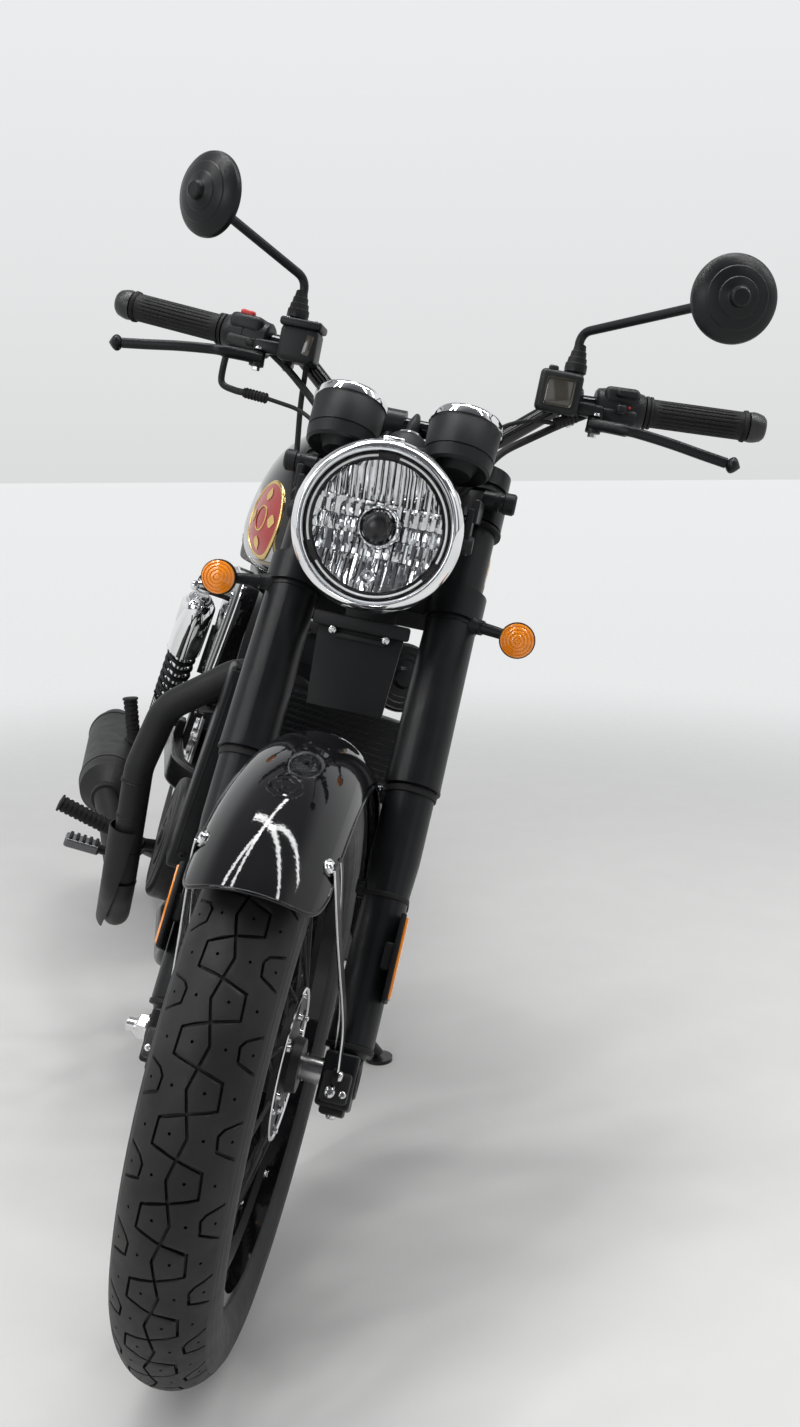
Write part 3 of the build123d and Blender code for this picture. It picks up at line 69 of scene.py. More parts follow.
left, along_fork = joint_axis("rear_wheel_spin"), joint_axis("steering")
across = left.cross(along_fork)
upward = along_fork * math.cos(RAKE) + across * math.sin(RAKE)
lean = Matrix((left, upward.cross(left), upward)).transposed()
turn = math.atan2(left.cross(joint_axis("front_wheel_spin")).dot(along_fork),
    left.dot(joint_axis("front_wheel_spin")))
upright_to_ground = Matrix.Translation(Vector(JOINTS["rear_wheel_spin"]["pos_m"]) - lean
    @ REAR_AXLE) @ lean.to_4x4()
steer_foot = Matrix.Translation(Vector(JOINTS["steering"]["pos_m"]))
steer = steer_foot @ Matrix.Rotation(turn, 4, along_fork) @ steer_foot.inverted()
PLACE = {"frame": upright_to_ground, "rear_wheel": upright_to_ground,
    "side_stand": upright_to_ground, "steering": steer @ upright_to_ground, "front_wheel": steer
    @ upright_to_ground}

# ---------------------------------------------------------------------- camera
# It stands 1.3 m in front of the front axle, 0.93 m up and a little to the machine's right, and looks down
# at it. Its focal length is nine tenths of its sensor's height.
CAMERA_AT = (-0.2493, -2.0244, 0.9311)
YAW, PITCH, ROLL = math.radians(9.31), math.radians(11.37), math.radians(0.07)
SENSOR, FOCAL_SHARE = 36.0, 1300 / 1427
camera_data = bpy.data.cameras.new("camera")
camera_data.sensor_fit = "VERTICAL"
camera_data.sensor_height = SENSOR
camera_data.lens = SENSOR * FOCAL_SHARE
camera = bpy.data.objects.new("camera", camera_data)
bpy.context.scene.collection.objects.link(camera)
camera.matrix_world = (Matrix.Translation(CAMERA_AT) @ Matrix.Rotation(-YAW, 4, "Z")
    @ Matrix.Rotation(math.pi / 2 - PITCH, 4, "X") @ Matrix.Rotation(-ROLL, 4, "Z"))
bpy.context.scene.camera = camera

# ---------------------------------------------------------------------- shaders
# The machine's enamels, cast metals, plastics and rubbers are one Principled shader each. The maths
# before it is written as Python expressions on sockets.


class Shade:
    """One socket of a material's node tree: operators on it add Math nodes, node() adds any other."""

    def __init__(self, tree, socket=None):
        self.tree, self.socket = tree, socket

    def node(self, kind, settings=None, sockets=None, out=0):
        made = self.tree.nodes.new(kind)
        for name, value in (settings or {}).items():
            setattr(made, name, value)
        for name, value in (sockets or {}).items():
            if isinstance(value, Shade):
                self.tree.links.new(value.socket, made.inputs[name])
            else:
                made.inputs[name].default_value = value
        return Shade(self.tree, made.outputs[out])

    def maths(self, operation, *values):
        return self.node("ShaderNodeMath", {"operation": operation}, dict(enumerate(values)))

    def vector(self, operation, *values, out=0):
        return self.node("ShaderNodeVectorMath", {"operation": operation}, dict(enumerate(values)), out)

    def __add__(self, other):
        return self.maths("ADD", self, other)

    def __sub__(self, other):
        return self.maths("SUBTRACT", self, other)

    def __rsub__(self, other):
        return self.maths("SUBTRACT", other, self)

    def __mul__(self, other):
        return self.maths("MULTIPLY", self, other)

    __radd__, __rmul__ = __add__, __mul__

    def step(self, low, high):
        """0 below low and 1 above high, smooth between them; high under low turns it round."""
        return self.node("ShaderNodeMapRange", {"interpolation_type": "SMOOTHSTEP"},
            {"Value": self, "From Min": low, "From Max": high})

    def mix(self, first, second):
        """Colours first to second, by this value."""
        return self.node("ShaderNodeMix", {"data_type": "RGBA"}, {0: self, 6: colour4(first),
            7: colour4(second)}, out=2)

    def part(self, axis):
        """One of a vector's three parts: 0 for across, 1 for deep and 2 for high."""
        return self.node("ShaderNodeSeparateXYZ", None, {"Vector": self}, out=axis)

    def noise(self, place, scale, detail=2.0, rough=0.5):
        return self.node("ShaderNodeTexNoise", None, {"Vector": place, "Scale": scale,
            "Detail": detail, "Roughness": rough})


def colour4(colour):
    if isinstance(colour, Shade):
        return colour
    return (*colour, 1.0)


def finish(name, colour, rough, metal=0.0, coat=0.0, mottle=0.12, grain=0.15, grain_size=0.0015,
        cloud=9.0, second=None, spec=0.5):
    """A material whose colour and gloss drift a little over it, with a fine grain in the normal."""
    made = bpy.data.materials.new(name)
    made.use_nodes = True
    tree = made.node_tree
    shader = tree.nodes["Principled BSDF"]
    sockets = shader.inputs
    start = Shade(tree)
    place = start.node("ShaderNodeTexCoord", out=3)
    drift = start.noise(place, cloud, 3.0)
    other = second or tuple(min(1.0, part * 1.6 + 0.008) for part in colour)
    blended = (drift.step(0.35, 0.75) * mottle * 4).mix(colour, other)
    tree.links.new(blended.socket, sockets["Base Color"])
    smear = start.noise(place, cloud * 4.7, 4.0, 0.6)
    tree.links.new((smear * (rough * 0.5) + rough * 0.75).socket, sockets["Roughness"])
    sockets["Metallic"].default_value = metal
    sockets["Coat Weight"].default_value = coat
    sockets["Coat Roughness"].default_value = 0.04
    sockets["Specular IOR Level"].default_value = spec
    if grain:
        fine = start.noise(place, 1 / grain_size, 2.0)
        bump = start.node("ShaderNodeBump", None, {"Strength": grain, "Distance": grain_size
            * 0.3, "Height": fine})
        tree.links.new(bump.socket, sockets["Normal"])
    return made


def dress(material, *names):
    """Gives CAD nodes their finish."""
    for name in names:
        slots = NODES[name].data.materials
        slots.clear()
        slots.append(material)


satin_black = finish("satin_black_coat", (0.008, 0.0085, 0.0095), 0.34, spec=0.22, grain=0.25,
    grain_size=0.0006)
gloss_black = finish("gloss_black_enamel", (0.004, 0.004, 0.0048), 0.045, spec=0.4, grain=0.04,
    grain_size=0.004)
frame_black = finish("frame_enamel", (0.007, 0.007, 0.0078), 0.25, spec=0.4, grain=0.1, grain_size=0.003)
moulded_black = finish("moulded_black_plastic", (0.009, 0.0095, 0.0105), 0.46, spec=0.22,
    grain=0.5, grain_size=0.0005)
rubber_black = finish("black_rubber", (0.010, 0.010, 0.0105), 0.6, spec=0.22, grain=0.4,
    grain_size=0.0005)
heat_black = finish("heat_proof_black", (0.011, 0.011, 0.0115), 0.5, spec=0.25, grain=0.6,
    grain_size=0.0007)
chrome = finish("chrome_plate", (0.86, 0.87, 0.88), 0.05, metal=1.0, mottle=0.03, grain=0)
bright_steel = finish("bright_steel", (0.62, 0.62, 0.62), 0.22, metal=1.0, mottle=0.08,
    grain=0.1, grain_size=0.0004)
cast_black = finish("black_cast_alloy", (0.012, 0.012, 0.013), 0.42, spec=0.3, grain=0.8,
    grain_size=0.0012)
dark_steel = finish("dark_steel", (0.13, 0.13, 0.135), 0.35, metal=0.9, grain=0.2, grain_size=0.0006)


class Shape:
    """The faces of one piece, gathered from turned, swept, lofted and boxed forms."""

    def __init__(self):
        self.mesh = bmesh.new()

    def skin(self, rings, capped=True, round_section=True):
        """Faces between rings of equally many points, with the first and last ring filled."""
        made = [[self.mesh.verts.new(point) for point in ring] for ring in rings]
        count = len(made[0])
        for low, high in zip(made, made[1:]):
            for i in range(count if round_section else count - 1):
                j = (i + 1) % count
                self.mesh.faces.new((low[i], low[j], high[j], high[i]))
        if capped:
            self.mesh.faces.new(list(reversed(made[0])))
            self.mesh.faces.new(made[-1])
        return self

    def lathe(self, origin, axis, outline, steps=48, capped=True):
        """An outline of (distance along the axis, radius) turned round it; a ring has no caps."""
        origin, axis = Vector(origin), Vector(axis).normalized()
        side = axis.cross(Z if abs(axis.z) < 0.9 else Y).normalized()
        lift = axis.cross(side)
        turns = [math.tau * i / steps for i in range(steps)]
        rings = []
        for along, radius in outline:
            radius = max(radius, 1e-6)
            rings.append([origin + axis * along + (side * math.cos(a) + lift * math.sin(a)) * radius
                for a in turns])
        return self.skin(rings, capped=capped)

    def sweep(self, route, section, up=Z, capped=True):
        """A section carried along a route: section(share) gives its (sideways, upward) points there."""
        route = [Vector(point) for point in route]
        rings, side = [], None
        for i, point in enumerate(route):
            ahead = (route[min(i + 1, len(route) - 1)] - route[max(i - 1, 0)]).normalized()
            if side is None:
                side = ahead.cross(Vector(up)).normalized()
            side = (side - ahead * side.dot(ahead)).normalized()
            lift = side.cross(ahead)
            rings.append([point + side * u + lift * v for u, v in section(i / (len(route) - 1))])
        return self.skin(rings, capped=capped)

    def tube(self, route, radius, steps=14, capped=True):
        """A round bar; its radius may be a function of the share of the route."""
        def circle(share):
            size = radius(share) if callable(radius) else radius
            return [(size * math.cos(math.tau * i / steps), size * math.sin(math.tau * i / steps))
                for i in range(steps)]
        return self.sweep(route, circle, capped=capped)

    def box(self, centre, size, bevel=0.0, steps=2, turn=None):
        """A block with rounded edges, turned by a matrix about its centre."""
        before = set(self.mesh.verts)
        made = bmesh.ops.create_cube(self.mesh, size=1.0)["verts"]
        bmesh.ops.scale(self.mesh, vec=size, verts=made)
        if bevel:
            edges = list({edge for vert in made for edge in vert.link_edges})
            bmesh.ops.bevel(self.mesh, geom=made + edges, offset=bevel, segments=steps,
                profile=0.5, affect="EDGES")
        new = [vert for vert in self.mesh.verts if vert not in before]
        place = Matrix.Translation(centre) @ (turn.to_4x4() if turn else Matrix.Identity(4))
        bmesh.ops.transform(self.mesh, matrix=place, verts=new)
        return self

    def plate(self, outline, thickness, bevel=0.0, origin=(0, 0, 0), right=X, up=Z):
        """A flat outline of (right, up) points, thickened both ways along its normal."""
        origin, right, up = Vector(origin), Vector(right), Vector(up)
        normal = right.cross(up).normalized()
        before = set(self.mesh.verts)
        rings = [[origin + normal * (k * thickness / 2) + right * u + up * v for u, v in outline]
            for k in (-1, 1)]
        self.skin(rings)
        if bevel:
            new = [vert for vert in self.mesh.verts if vert not in before]
            rim = [edge for vert in new for edge in vert.link_edges]
            rim = [edge for edge in set(rim) if any(len(face.verts) > 4 or len(outline) == 4
                for face in edge.link_faces)]
            bmesh.ops.bevel(self.mesh, geom=rim, offset=bevel, segments=2, profile=0.5, affect="EDGES")
        return self

    def piece(self, name, body, material, slot, sharp=38, turned=True):
        """Makes the object, puts it on its body and gives it its finish."""
        bmesh.ops.remove_doubles(self.mesh, verts=self.mesh.verts, dist=2e-6)
        if turned:
            bmesh.ops.recalc_face_normals(self.mesh, faces=self.mesh.faces)
        mesh = bpy.data.meshes.new(name)
        self.mesh.to_mesh(mesh)
        self.mesh.free()
        mesh.polygons.foreach_set("use_smooth", [True] * len(mesh.polygons))
        mesh.set_sharp_from_angle(angle=math.radians(sharp))
        mesh.materials.append(material)
        made = bpy.data.objects.new(name, mesh)
        bpy.context.scene.collection.objects.link(made)
        made.matrix_world = PLACE[body]
        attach(made, body)
        return made


def curve_point(a, b, c, d, t):
    """The point at t, from 0 to 1, between b and c of a smooth line through a, b, c and d."""
    return 0.5 * (b * 2 + (c - a) * t + (a * 2 - b * 5 + c * 4 - d) * t ** 2 + (b * 3 - a - c * 3 + d)
        * t ** 3)


def smooth_route(points, steps=8):
    """A smooth line through the points."""
    points = [Vector(point) for point in points]
    padded = [points[0] * 2 - points[1], *points, points[-1] * 2 - points[-2]]
    line = []
    for a, b, c, d in zip(padded, padded[1:], padded[2:], padded[3:]):
        line += [curve_point(a, b, c, d, i / steps) for i in range(steps)]
    return line + [points[-1]]


LEG_X = 0.096


def fork_point(side, distance):
    """A point on a fork leg, that far up from the axle."""
    return Vector((side * LEG_X, 0, FRONT_AXLE.z)) + UP_FORK * distance


def round_way(angle):
    """The direction at that angle round an axle: 0 is straight back and a quarter turn is up."""
    return Vector((0, math.cos(angle), math.sin(angle)))

# ---------------------------------------------------------------------- room
# A pale floor fades into a pale wall all round. Four strip lamps hang over the machine and a soft light
# stands to its right. A row of windows in front of it gives light and reflections, but is not seen itself.
scene = bpy.context.scene
scene.view_settings.view_transform = "Standard"


def ray_kinds(tree):
    """1 on camera, glossy and transmission rays, and 1 on camera rays alone."""
    rays = tree.nodes.new("ShaderNodeLightPath").outputs
    from_camera = Shade(tree, rays["Is Camera Ray"])
    seen = from_camera + Shade(tree, rays["Is Glossy Ray"]) + Shade(tree, rays["Is Transmission Ray"])
    return seen.maths("MINIMUM", seen, 1.0), from_camera


def studio_world():
    """The wall, paler at eye height than overhead, and the windows, hidden from the camera."""
    world = bpy.data.worlds.new("room")
    scene.world = world
    world.use_nodes = True
    tree = world.node_tree
    background = tree.nodes["Background"]
    start = Shade(tree)
    seen, from_camera = ray_kinds(tree)
    ways = start.node("ShaderNodeTexCoord", out=0)
    across, deep, height = (ways.part(axis) for axis in range(3))
    windows = start.maths("SINE", across * 11.0 + 0.6).step(0.0, 0.3) * height.step(-0.02,
        0.03) * height.step(0.50, 0.44)
    room = windows.mix((0.10, 0.10, 0.11), (0.95, 0.97, 1.0))
    wall = height.step(-0.4, 0.4).mix((0.62, 0.62, 0.61), (0.86, 0.87, 0.88))
    pale = height.step(0.42, 0.75).mix(wall, (0.30, 0.30, 0.31))
    mirrored = deep.step(-0.15, -0.50) * (1.0 - from_camera)
    tree.links.new(mirrored.mix(pale, room).socket, background.inputs["Color"])
    tree.links.new((seen * 0.36 + 0.62).socket, background.inputs["Strength"])


def ceiling_lamp(name, place, size, power, aim):
    data = bpy.data.lights.new(name, "AREA")
    data.shape = "RECTANGLE"
    data.size, data.size_y = size
    data.energy = power
    made = bpy.data.objects.new(name, data)
    scene.collection.objects.link(made)
    turned = (Vector(aim) - Vector(place)).to_track_quat("-Z", "Y")
    made.matrix_world = Matrix.Translation(place) @ turned.to_matrix().to_4x4()


studio_world()
for number, x in enumerate((-1.8, -0.6, 0.6, 1.8)):
    ceiling_lamp(f"ceiling_lamp_{number + 1}", (x, -0.7, 3.1), (0.14, 3.6), 34, (x * 0.4, -0.4, 0.3))
ceiling_lamp("window_light", (-2.8, -3.2, 1.9), (1.6, 1.6), 30, (0.0, -0.5, 0.6))

floor_paint = finish("pale_floor", (0.70, 0.70, 0.69), 0.6, second=(0.74, 0.74, 0.73), mottle=0.1,
    grain=0.1, grain_size=0.004)


FADE_FROM, FADE_TO = 1.0, 3.4


def fade_to_wall(paint):
    """Where the camera or a reflection sees the floor far from the machine, it takes the wall's colour."""
    tree = paint.node_tree
    sockets = tree.nodes["Principled BSDF"].inputs
    seen, _ = ray_kinds(tree)
    away = seen.vector("LENGTH", seen.node("ShaderNodeTexCoord", out=3), out=1)
    far = away.step(FADE_FROM, FADE_TO) * seen
    own = Shade(tree, sockets["Base Color"].links[0].from_socket)
    tree.links.new(far.mix(own, (0, 0, 0)).socket, sockets["Base Color"])
    tree.links.new(far.mix((0, 0, 0), (0.74, 0.745, 0.75)).socket, sockets["Emission Color"])
    sockets["Emission Strength"].default_value = 1.0


fade_to_wall(floor_paint)
FLOOR_HALF = 40
floor_mesh = bpy.data.meshes.new("floor")
floor_mesh.from_pydata([(-FLOOR_HALF, -FLOOR_HALF, 0), (FLOOR_HALF, -FLOOR_HALF, 0),
    (FLOOR_HALF, FLOOR_HALF, 0), (-FLOOR_HALF, FLOOR_HALF, 0)], [], [(0, 1, 2, 3)])
floor_mesh.materials.append(floor_paint)
floor = bpy.data.objects.new("floor", floor_mesh)
scene.collection.objects.link(floor)

# ---------------------------------------------------------------------- frame and engine
# The welded tube frame, the cast engine and the running gear keep their CAD shapes and get their real
# finishes. The pieces below stand on them or take their place.
dress(frame_black, "main_frame", "subframe", "swingarm", "side_stand")
dress(cast_black, "crankcase", "cylinder", "engine_covers", "front_hub", "rear_hub",
    "front_caliper", "rear_caliper")
dress(satin_black, "cylinder_head", "fork_legs", "fork_covers", "fork_yokes",
    "headlamp_shell", "chain_guard", "radiator")
dress(heat_black, "exhaust_header", "muffler", "heat_shield")
dress(bright_steel, "front_axle", "rear_axle", "front_brake_disc", "rear_brake_disc")
dress(dark_steel, "rear_sprocket", "gear_lever", "brake_pedal")
dress(gloss_black, "handlebar", "front_rim", "rear_rim", "rear_mudguard")
dress(moulded_black, "airbox")
dress(rubber_black, "rider_pegs", "passenger_pegs", "control_cables", "brake_hose", "wiring")
dress(chrome, "rear_shocks")

# ---------------------------------------------------------------------- headlamp
# A chrome ring holds a clear lens over a faceted reflector, with a bulb under a dark cap, a small pilot
# bulb and a dark ring that carries three light guides. The whole lamp is pressed into a black shell
# between the fork covers.
LAMP = Vector((0, 0.138, 0.880))
FORWARD = -Y
RING_R, GLASS_R, GUIDE_R = 0.095, 0.0815, 0.0765


def clear_glass(name):
    """Glass seen through without loss: mostly transparent, with its own gloss over it."""
    made = bpy.data.materials.new(name)
    made.use_nodes = True
    tree = made.node_tree
    shader = tree.nodes["Principled BSDF"].inputs
    shader["Base Color"].default_value = (0.05, 0.05, 0.055, 1)
    shader["Roughness"].default_value = 0.0
    shader["Alpha"].default_value = 0.04
    shader["Coat Weight"].default_value = 1.0
    shader["Coat Roughness"].default_value = 0.01
    return made


lens_glass = clear_glass("headlamp_glass")
lens = Shape().lathe(LAMP, FORWARD, [(0.004, GLASS_R), (0.010, GLASS_R - 0.002),
    (0.015, GLASS_R - 0.009), (0.019, GLASS_R - 0.025), (0.0215, GLASS_R - 0.045), (0.0225, 0.0)], 96)
lens = lens.piece("headlamp_clear_lens", "steering", lens_glass, "lamp_glass")
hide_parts("headlamp_lens")


def reflector_depth(radius):
    """How deep the bowl is at that distance from its middle."""
    return -0.030 + 0.030 * (radius / 0.072) ** 2


def facet_bowl():
    """Vertical flutes in three bands: fine above, broad blocks at the sides and tall ones below."""
    shape = Shape()
    rows = [(0.072, 0.026, 22), (0.026, 0.006, 14), (0.006, -0.012, 18), (-0.012, -0.034, 16),
        (-0.034, -0.072, 20)]
    for high, low, count in rows:
        width = 0.144 / count
        for k in range(count):
            left_x, shift = -0.072 + k * width, 0.0012 * math.sin(k * 2.4 + high * 90)
            columns = []
            for i in range(5):
                x = left_x + width * i / 4
                bulge = 0.0030 * math.sin(math.pi * i / 4) * (1 if (k % 2) else 0.6)
                column = []
                for j in range(5):
                    z = high + (low - high) * j / 4
                    radius = math.hypot(x, z)
                    tip = 0.0016 * math.sin(math.pi * j / 4)
                    pull = min(1.0, 0.0715 / max(radius, 1e-6))
                    depth = reflector_depth(min(radius, 0.072)) + bulge + tip + shift
                    column.append(LAMP + Vector((x * pull, -depth, z * pull)))
                columns.append(column)
            rings = [[shape.mesh.verts.new(point) for point in column] for column in columns]
            for first, second in zip(rings, rings[1:]):
                for i in range(4):
                    quad = (first[i], first[i + 1], second[i + 1], second[i])
                    if len({tuple(round(c, 7) for c in vert.co) for vert in quad}) == 4:
                        shape.mesh.faces.new(quad)
    return shape


plating = finish("reflector_plating", (0.80, 0.81, 0.82), 0.07, metal=1.0, mottle=0.1, second=(0.34,
    0.35, 0.36), cloud=60, grain=0)
facet_bowl().piece("headlamp_reflector", "steering", plating, "bright_chrome", sharp=12, turned=False)
dark_bezel = finish("lamp_inner_bezel", (0.005, 0.005, 0.006), 0.3, spec=0.3, grain=0)
bezel = Shape()
bezel.lathe(LAMP, FORWARD, [(-0.006, 0.0705), (0.001, 0.0715), (0.003, 0.0735), (0.003, 0.0795),
    (0.006, 0.0818), (0.006, 0.0835), (-0.006, 0.0835)], 96, capped=False)
bezel.piece("lamp_inner_bezel", "steering", dark_bezel, "black_plastic")
guide_white = finish("light_guide", (0.88, 0.89, 0.90), 0.25, coat=0.5, grain=0)
guides = Shape()
for begin, end in ((8, 112), (128, 232), (248, 352)):
    arc = [LAMP + FORWARD * 0.0045 + Vector((math.sin(math.radians(a)), 0, math.cos(math.radians(a))))
        * GUIDE_R for a in range(begin, end, 3)]
    guides.tube(arc, 0.0013, 8)
guides.piece("lamp_light_guides", "steering", guide_white, "lamp_glass")
bulb = Shape()
bulb.lathe(LAMP, FORWARD, [(-0.022, 0.0155), (-0.004, 0.0165), (0.001, 0.0150), (0.0045, 0.0110),
    (0.006, 0.0055), (0.0065, 0.0)], 48)
cap_black = finish("bulb_cap", (0.009, 0.009, 0.010), 0.25, spec=0.4, grain=0)
bulb.piece("bulb_cap", "steering", cap_black, "black_plastic")
collar = Shape().lathe(LAMP, FORWARD, [(-0.026, 0.0185), (-0.009, 0.0200), (-0.007, 0.0205),
    (-0.009, 0.0222), (-0.022, 0.0240)], 48, capped=False)
collar.piece("bulb_collar", "steering", plating, "bright_chrome")
pilot = LAMP + Vector((0, 0, -0.055))
pilot_lamp = Shape().lathe(pilot, FORWARD, [(-0.012, 0.0085), (0.000, 0.0085), (0.001, 0.0075),
    (-0.001, 0.0062), (-0.004, 0.0045), (-0.001, 0.0035), (0.0005, 0.0)], 32)
pilot_lamp.piece("pilot_lamp", "steering", plating, "bright_chrome")
trim = Shape()
trim.lathe(LAMP, FORWARD, [(-0.014, 0.0885), (-0.013, 0.0945), (-0.004, RING_R), (0.003, RING_R),
    (0.010, 0.0925), (0.0145, 0.0880), (0.0150, 0.0860), (0.0135, 0.0845), (0.0105, 0.0843),
    (0.0100, 0.0838), (0.0112, 0.0830), (0.0112, 0.0822), (0.0090, 0.0812), (0.0040, 0.0810)], 128,
    capped=False)
tab = LAMP + Vector((0, 0.001, RING_R))
trim.box(tab + Vector((0, 0, -0.0005)), (0.024, 0.016, 0.006), 0.002)
trim = trim.piece("headlamp_chrome_ring", "steering", chrome, "bright_chrome", sharp=50)
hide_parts("headlamp_ring")

# ---------------------------------------------------------------------- dials
# Two dials in black plastic cups with chrome bezels, on a small bridge behind the headlamp; the
# ignition switch is between them, with its key in it. The faces carry plain hour-like ticks and
# pointers.
DIAL_R = 0.042
DIAL_UP = Vector((0, math.sin(math.radians(22)), math.cos(math.radians(22))))
dial_face_white = finish("dial_print", (0.75, 0.75, 0.74), 0.5, grain=0)
dial_face_black = finish("dial_face", (0.008, 0.008, 0.009), 0.4, grain=0)
needle_red = finish("dial_needle", (0.55, 0.05, 0.02), 0.4, grain=0)
dial_glass = clear_glass("dial_glass")
cups, bezels, glasses, faces, prints, needles = Shape(), Shape(), Shape(), Shape(), Shape(), Shape()


def across_face(degrees):
    """A dial's direction at that angle from its top, and the turn that lays a box along it."""
    a = math.radians(degrees)
    way = X * math.sin(a) + DIAL_UP.cross(X) * math.cos(a)
    return way, Matrix((way, DIAL_UP.cross(way), DIAL_UP)).transposed()


for side in (-1, 1):
    top = Vector((side * 0.067, 0.216, 1.014))
    cups.lathe(top, DIAL_UP, [(-0.004, DIAL_R - 0.003), (-0.008, DIAL_R - 0.0005),
        (-0.044, DIAL_R - 0.0015), (-0.0445, DIAL_R - 0.0027), (-0.0460, DIAL_R - 0.0027),
        (-0.0465, DIAL_R - 0.0015), (-0.059, DIAL_R - 0.003), (-0.062, DIAL_R - 0.006),
        (-0.058, DIAL_R - 0.009), (-0.054, 0.024), (-0.058, 0.021), (-0.066, 0.018), (-0.068, 0.0)], 72)
    bezels.lathe(top, DIAL_UP, [(-0.009, DIAL_R - 0.001), (-0.0085, DIAL_R + 0.0006),
        (-0.002, DIAL_R + 0.0004), (0.002, DIAL_R - 0.0012), (0.0038, DIAL_R - 0.0035),
        (0.0030, DIAL_R - 0.0055), (-0.002, DIAL_R - 0.0070)], 72, capped=False)
    glasses.lathe(top, DIAL_UP, [(0.0005, DIAL_R - 0.0062), (0.0016, 0.018), (0.0018, 0.0)], 48)
    faces.lathe(top, DIAL_UP, [(-0.002, DIAL_R - 0.0065), (-0.0055, DIAL_R - 0.009), (-0.0055, 0.0)], 48)
    for i in range(25):
        long_tick = 0.006 if i % 3 == 0 else 0.0035
        way, turned = across_face(-130 + i * 260 / 24)
        centre = top - DIAL_UP * 0.0051 + way * (0.0300 - long_tick / 2)
        prints.box(centre, (long_tick, 0.0009, 0.0004), turn=turned)
    way, turned = across_face(-118)
    needles.box(top - DIAL_UP * 0.0035 + way * 0.009, (0.030, 0.0013, 0.0006), turn=turned)
    needles.lathe(top - DIAL_UP * 0.0045, DIAL_UP, [(0, 0.0035), (0.0022, 0.0030), (0.0024, 0.0)], 24)
cups.box((0, 0.262, 0.962), (0.118, 0.014, 0.010), 0.003)
cups = cups.piece("dial_cups", "steering", moulded_black, "black_plastic")
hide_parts("gauges")
bezels.piece("dial_bezels", "steering", chrome, "bright_chrome", sharp=60)
glasses.piece("dial_glasses", "steering", dial_glass, "lamp_glass")
faces.piece("dial_faces", "steering", dial_face_black, "black_plastic")
prints.piece("dial_ticks", "steering", dial_face_white, "black_plastic")
needles.piece("dial_needles", "steering", needle_red, "black_plastic")

# ---------------------------------------------------------------------- ignition switch
# The lock's barrel stands in a black plastic cover on the top yoke, with a chrome rim round its
# keyhole. The key is in it, and its moulded head stands clear.
BARREL = Vector((-0.008, 0.322, 0.975))
barrel = Shape().lathe(BARREL, UP_FORK, [(-0.030, 0.026), (0.010, 0.026), (0.016, 0.022),
    (0.018, 0.0165)], 40)
barrel.box(BARREL + Vector((0.006, -0.012, -0.004)), (0.062, 0.050, 0.022), 0.008)
barrel.piece("ignition_cover", "steering", moulded_black, "black_plastic")
rim_piece = Shape().lathe(BARREL, UP_FORK, [(0.017, 0.0172), (0.0215, 0.0165), (0.0225, 0.0150),
    (0.0215, 0.0135), (0.016, 0.0125)], 40, capped=False)
rim_piece.piece("ignition_rim", "steering", chrome, "bright_chrome", sharp=60)
key_way = (UP_FORK + X * 0.12).normalized()
key = Shape()
key_section = [(0.0052 * math.cos(a), 0.0135 * math.sin(a)) for a in (i * math.tau / 16
    for i in range(16))]
key_route = [BARREL + UP_FORK * 0.017 + key_way * (0.034 * i / 8) for i in range(9)]
key.sweep(key_route,
    lambda t: [(u * (0.5 + 1.1 * math.sin(math.pi * min(0.96, 0.28 + 0.68 * t)) ** 0.7),
    v * (0.45 + 0.75 * math.sin(math.pi * min(0.96, 0.28 + 0.68 * t)) ** 0.7)) for u,
    v in key_section], up=Y)
key.piece("key_head", "steering", moulded_black, "black_plastic", sharp=60)

# ---------------------------------------------------------------------- front tyre
# A black road tyre: blocks cut by a zigzag along the middle, cross grooves and shoulder sipes, each
# unit's left half the same as its right half moved on by half a unit. The cords of its side walls show
# as fine ribs, and it carries no text.
# Each corner and each dimple is (degrees round the tyre, millimetres across the front one).
GROOVES = [
    [(0, 0), (3.33, 4.9), (6.67, 0), (10.0, -4.9), (13.33, 0)],
    [(-1.45, 24.2), (0, 0), (1.2, -24.2), (5.22, -22.9), (6.67, 0), (7.87, 24.2), (11.88, 22.9), (13.33, 0)],
    [(0.4, 53.5), (1.9, 31.2), (4.25, 29.6), (5.3, 34.0), (6.8, 53.5)],
    [(7.07, -53.5), (8.57, -31.2), (10.92, -29.6), (11.97, -34.0), (13.47, -53.5)]]
DIMPLES = [(3.4, -10.3), (10.1, 10.3), (3.4, 18.2), (10.1, -18.2), (3.5, 44.0), (10.2, -44.0),
           (3.3, -36.4), (10.0, 36.4)]
TREAD_UNITS, GROOVE_DEPTH = 27, 0.0042
UNIT_DEG = 360 / TREAD_UNITS


def groove_patches(long, wide, half):
    """The outlines of one unit's grooves, in millimetres, and of its neighbours' that reach into it."""
    patches = []
    for shift in (-1, 0, 1):
        def flat(point):
            return Vector(((point[0] / UNIT_DEG + shift) * long, point[1] * wide))
        for line in GROOVES:
            line = [flat(point) for point in line]
            for a, b in zip(line, line[1:]):
                side = (b - a).normalized().orthogonal() * half
                patches.append([a + side, b + side, b - side, a - side])
            for a in line[1:-1]:
                patches.append([a + Vector((math.cos(k * math.tau / 10), math.sin(k * math.tau / 10)))
                    * half for k in range(10)])
        for dimple in DIMPLES:
            a = flat(dimple)
            patches.append([a + Vector((math.cos(k * math.tau / 8), math.sin(k * math.tau / 8))) * 1.5
                for k in range(8)])
    return [patch for patch in patches if any(-0.5 < point.x < long + 0.5 for point in patch)]


def holds(patch, x, y):
    inside, before = False, patch[-1]
    for point in patch:
        if (point.y > y) != (before.y > y) and x < (before.x - point.x) * (y - point.y) / (before.y
                - point.y) + point.x:
            inside = not inside
        before = point
    return inside


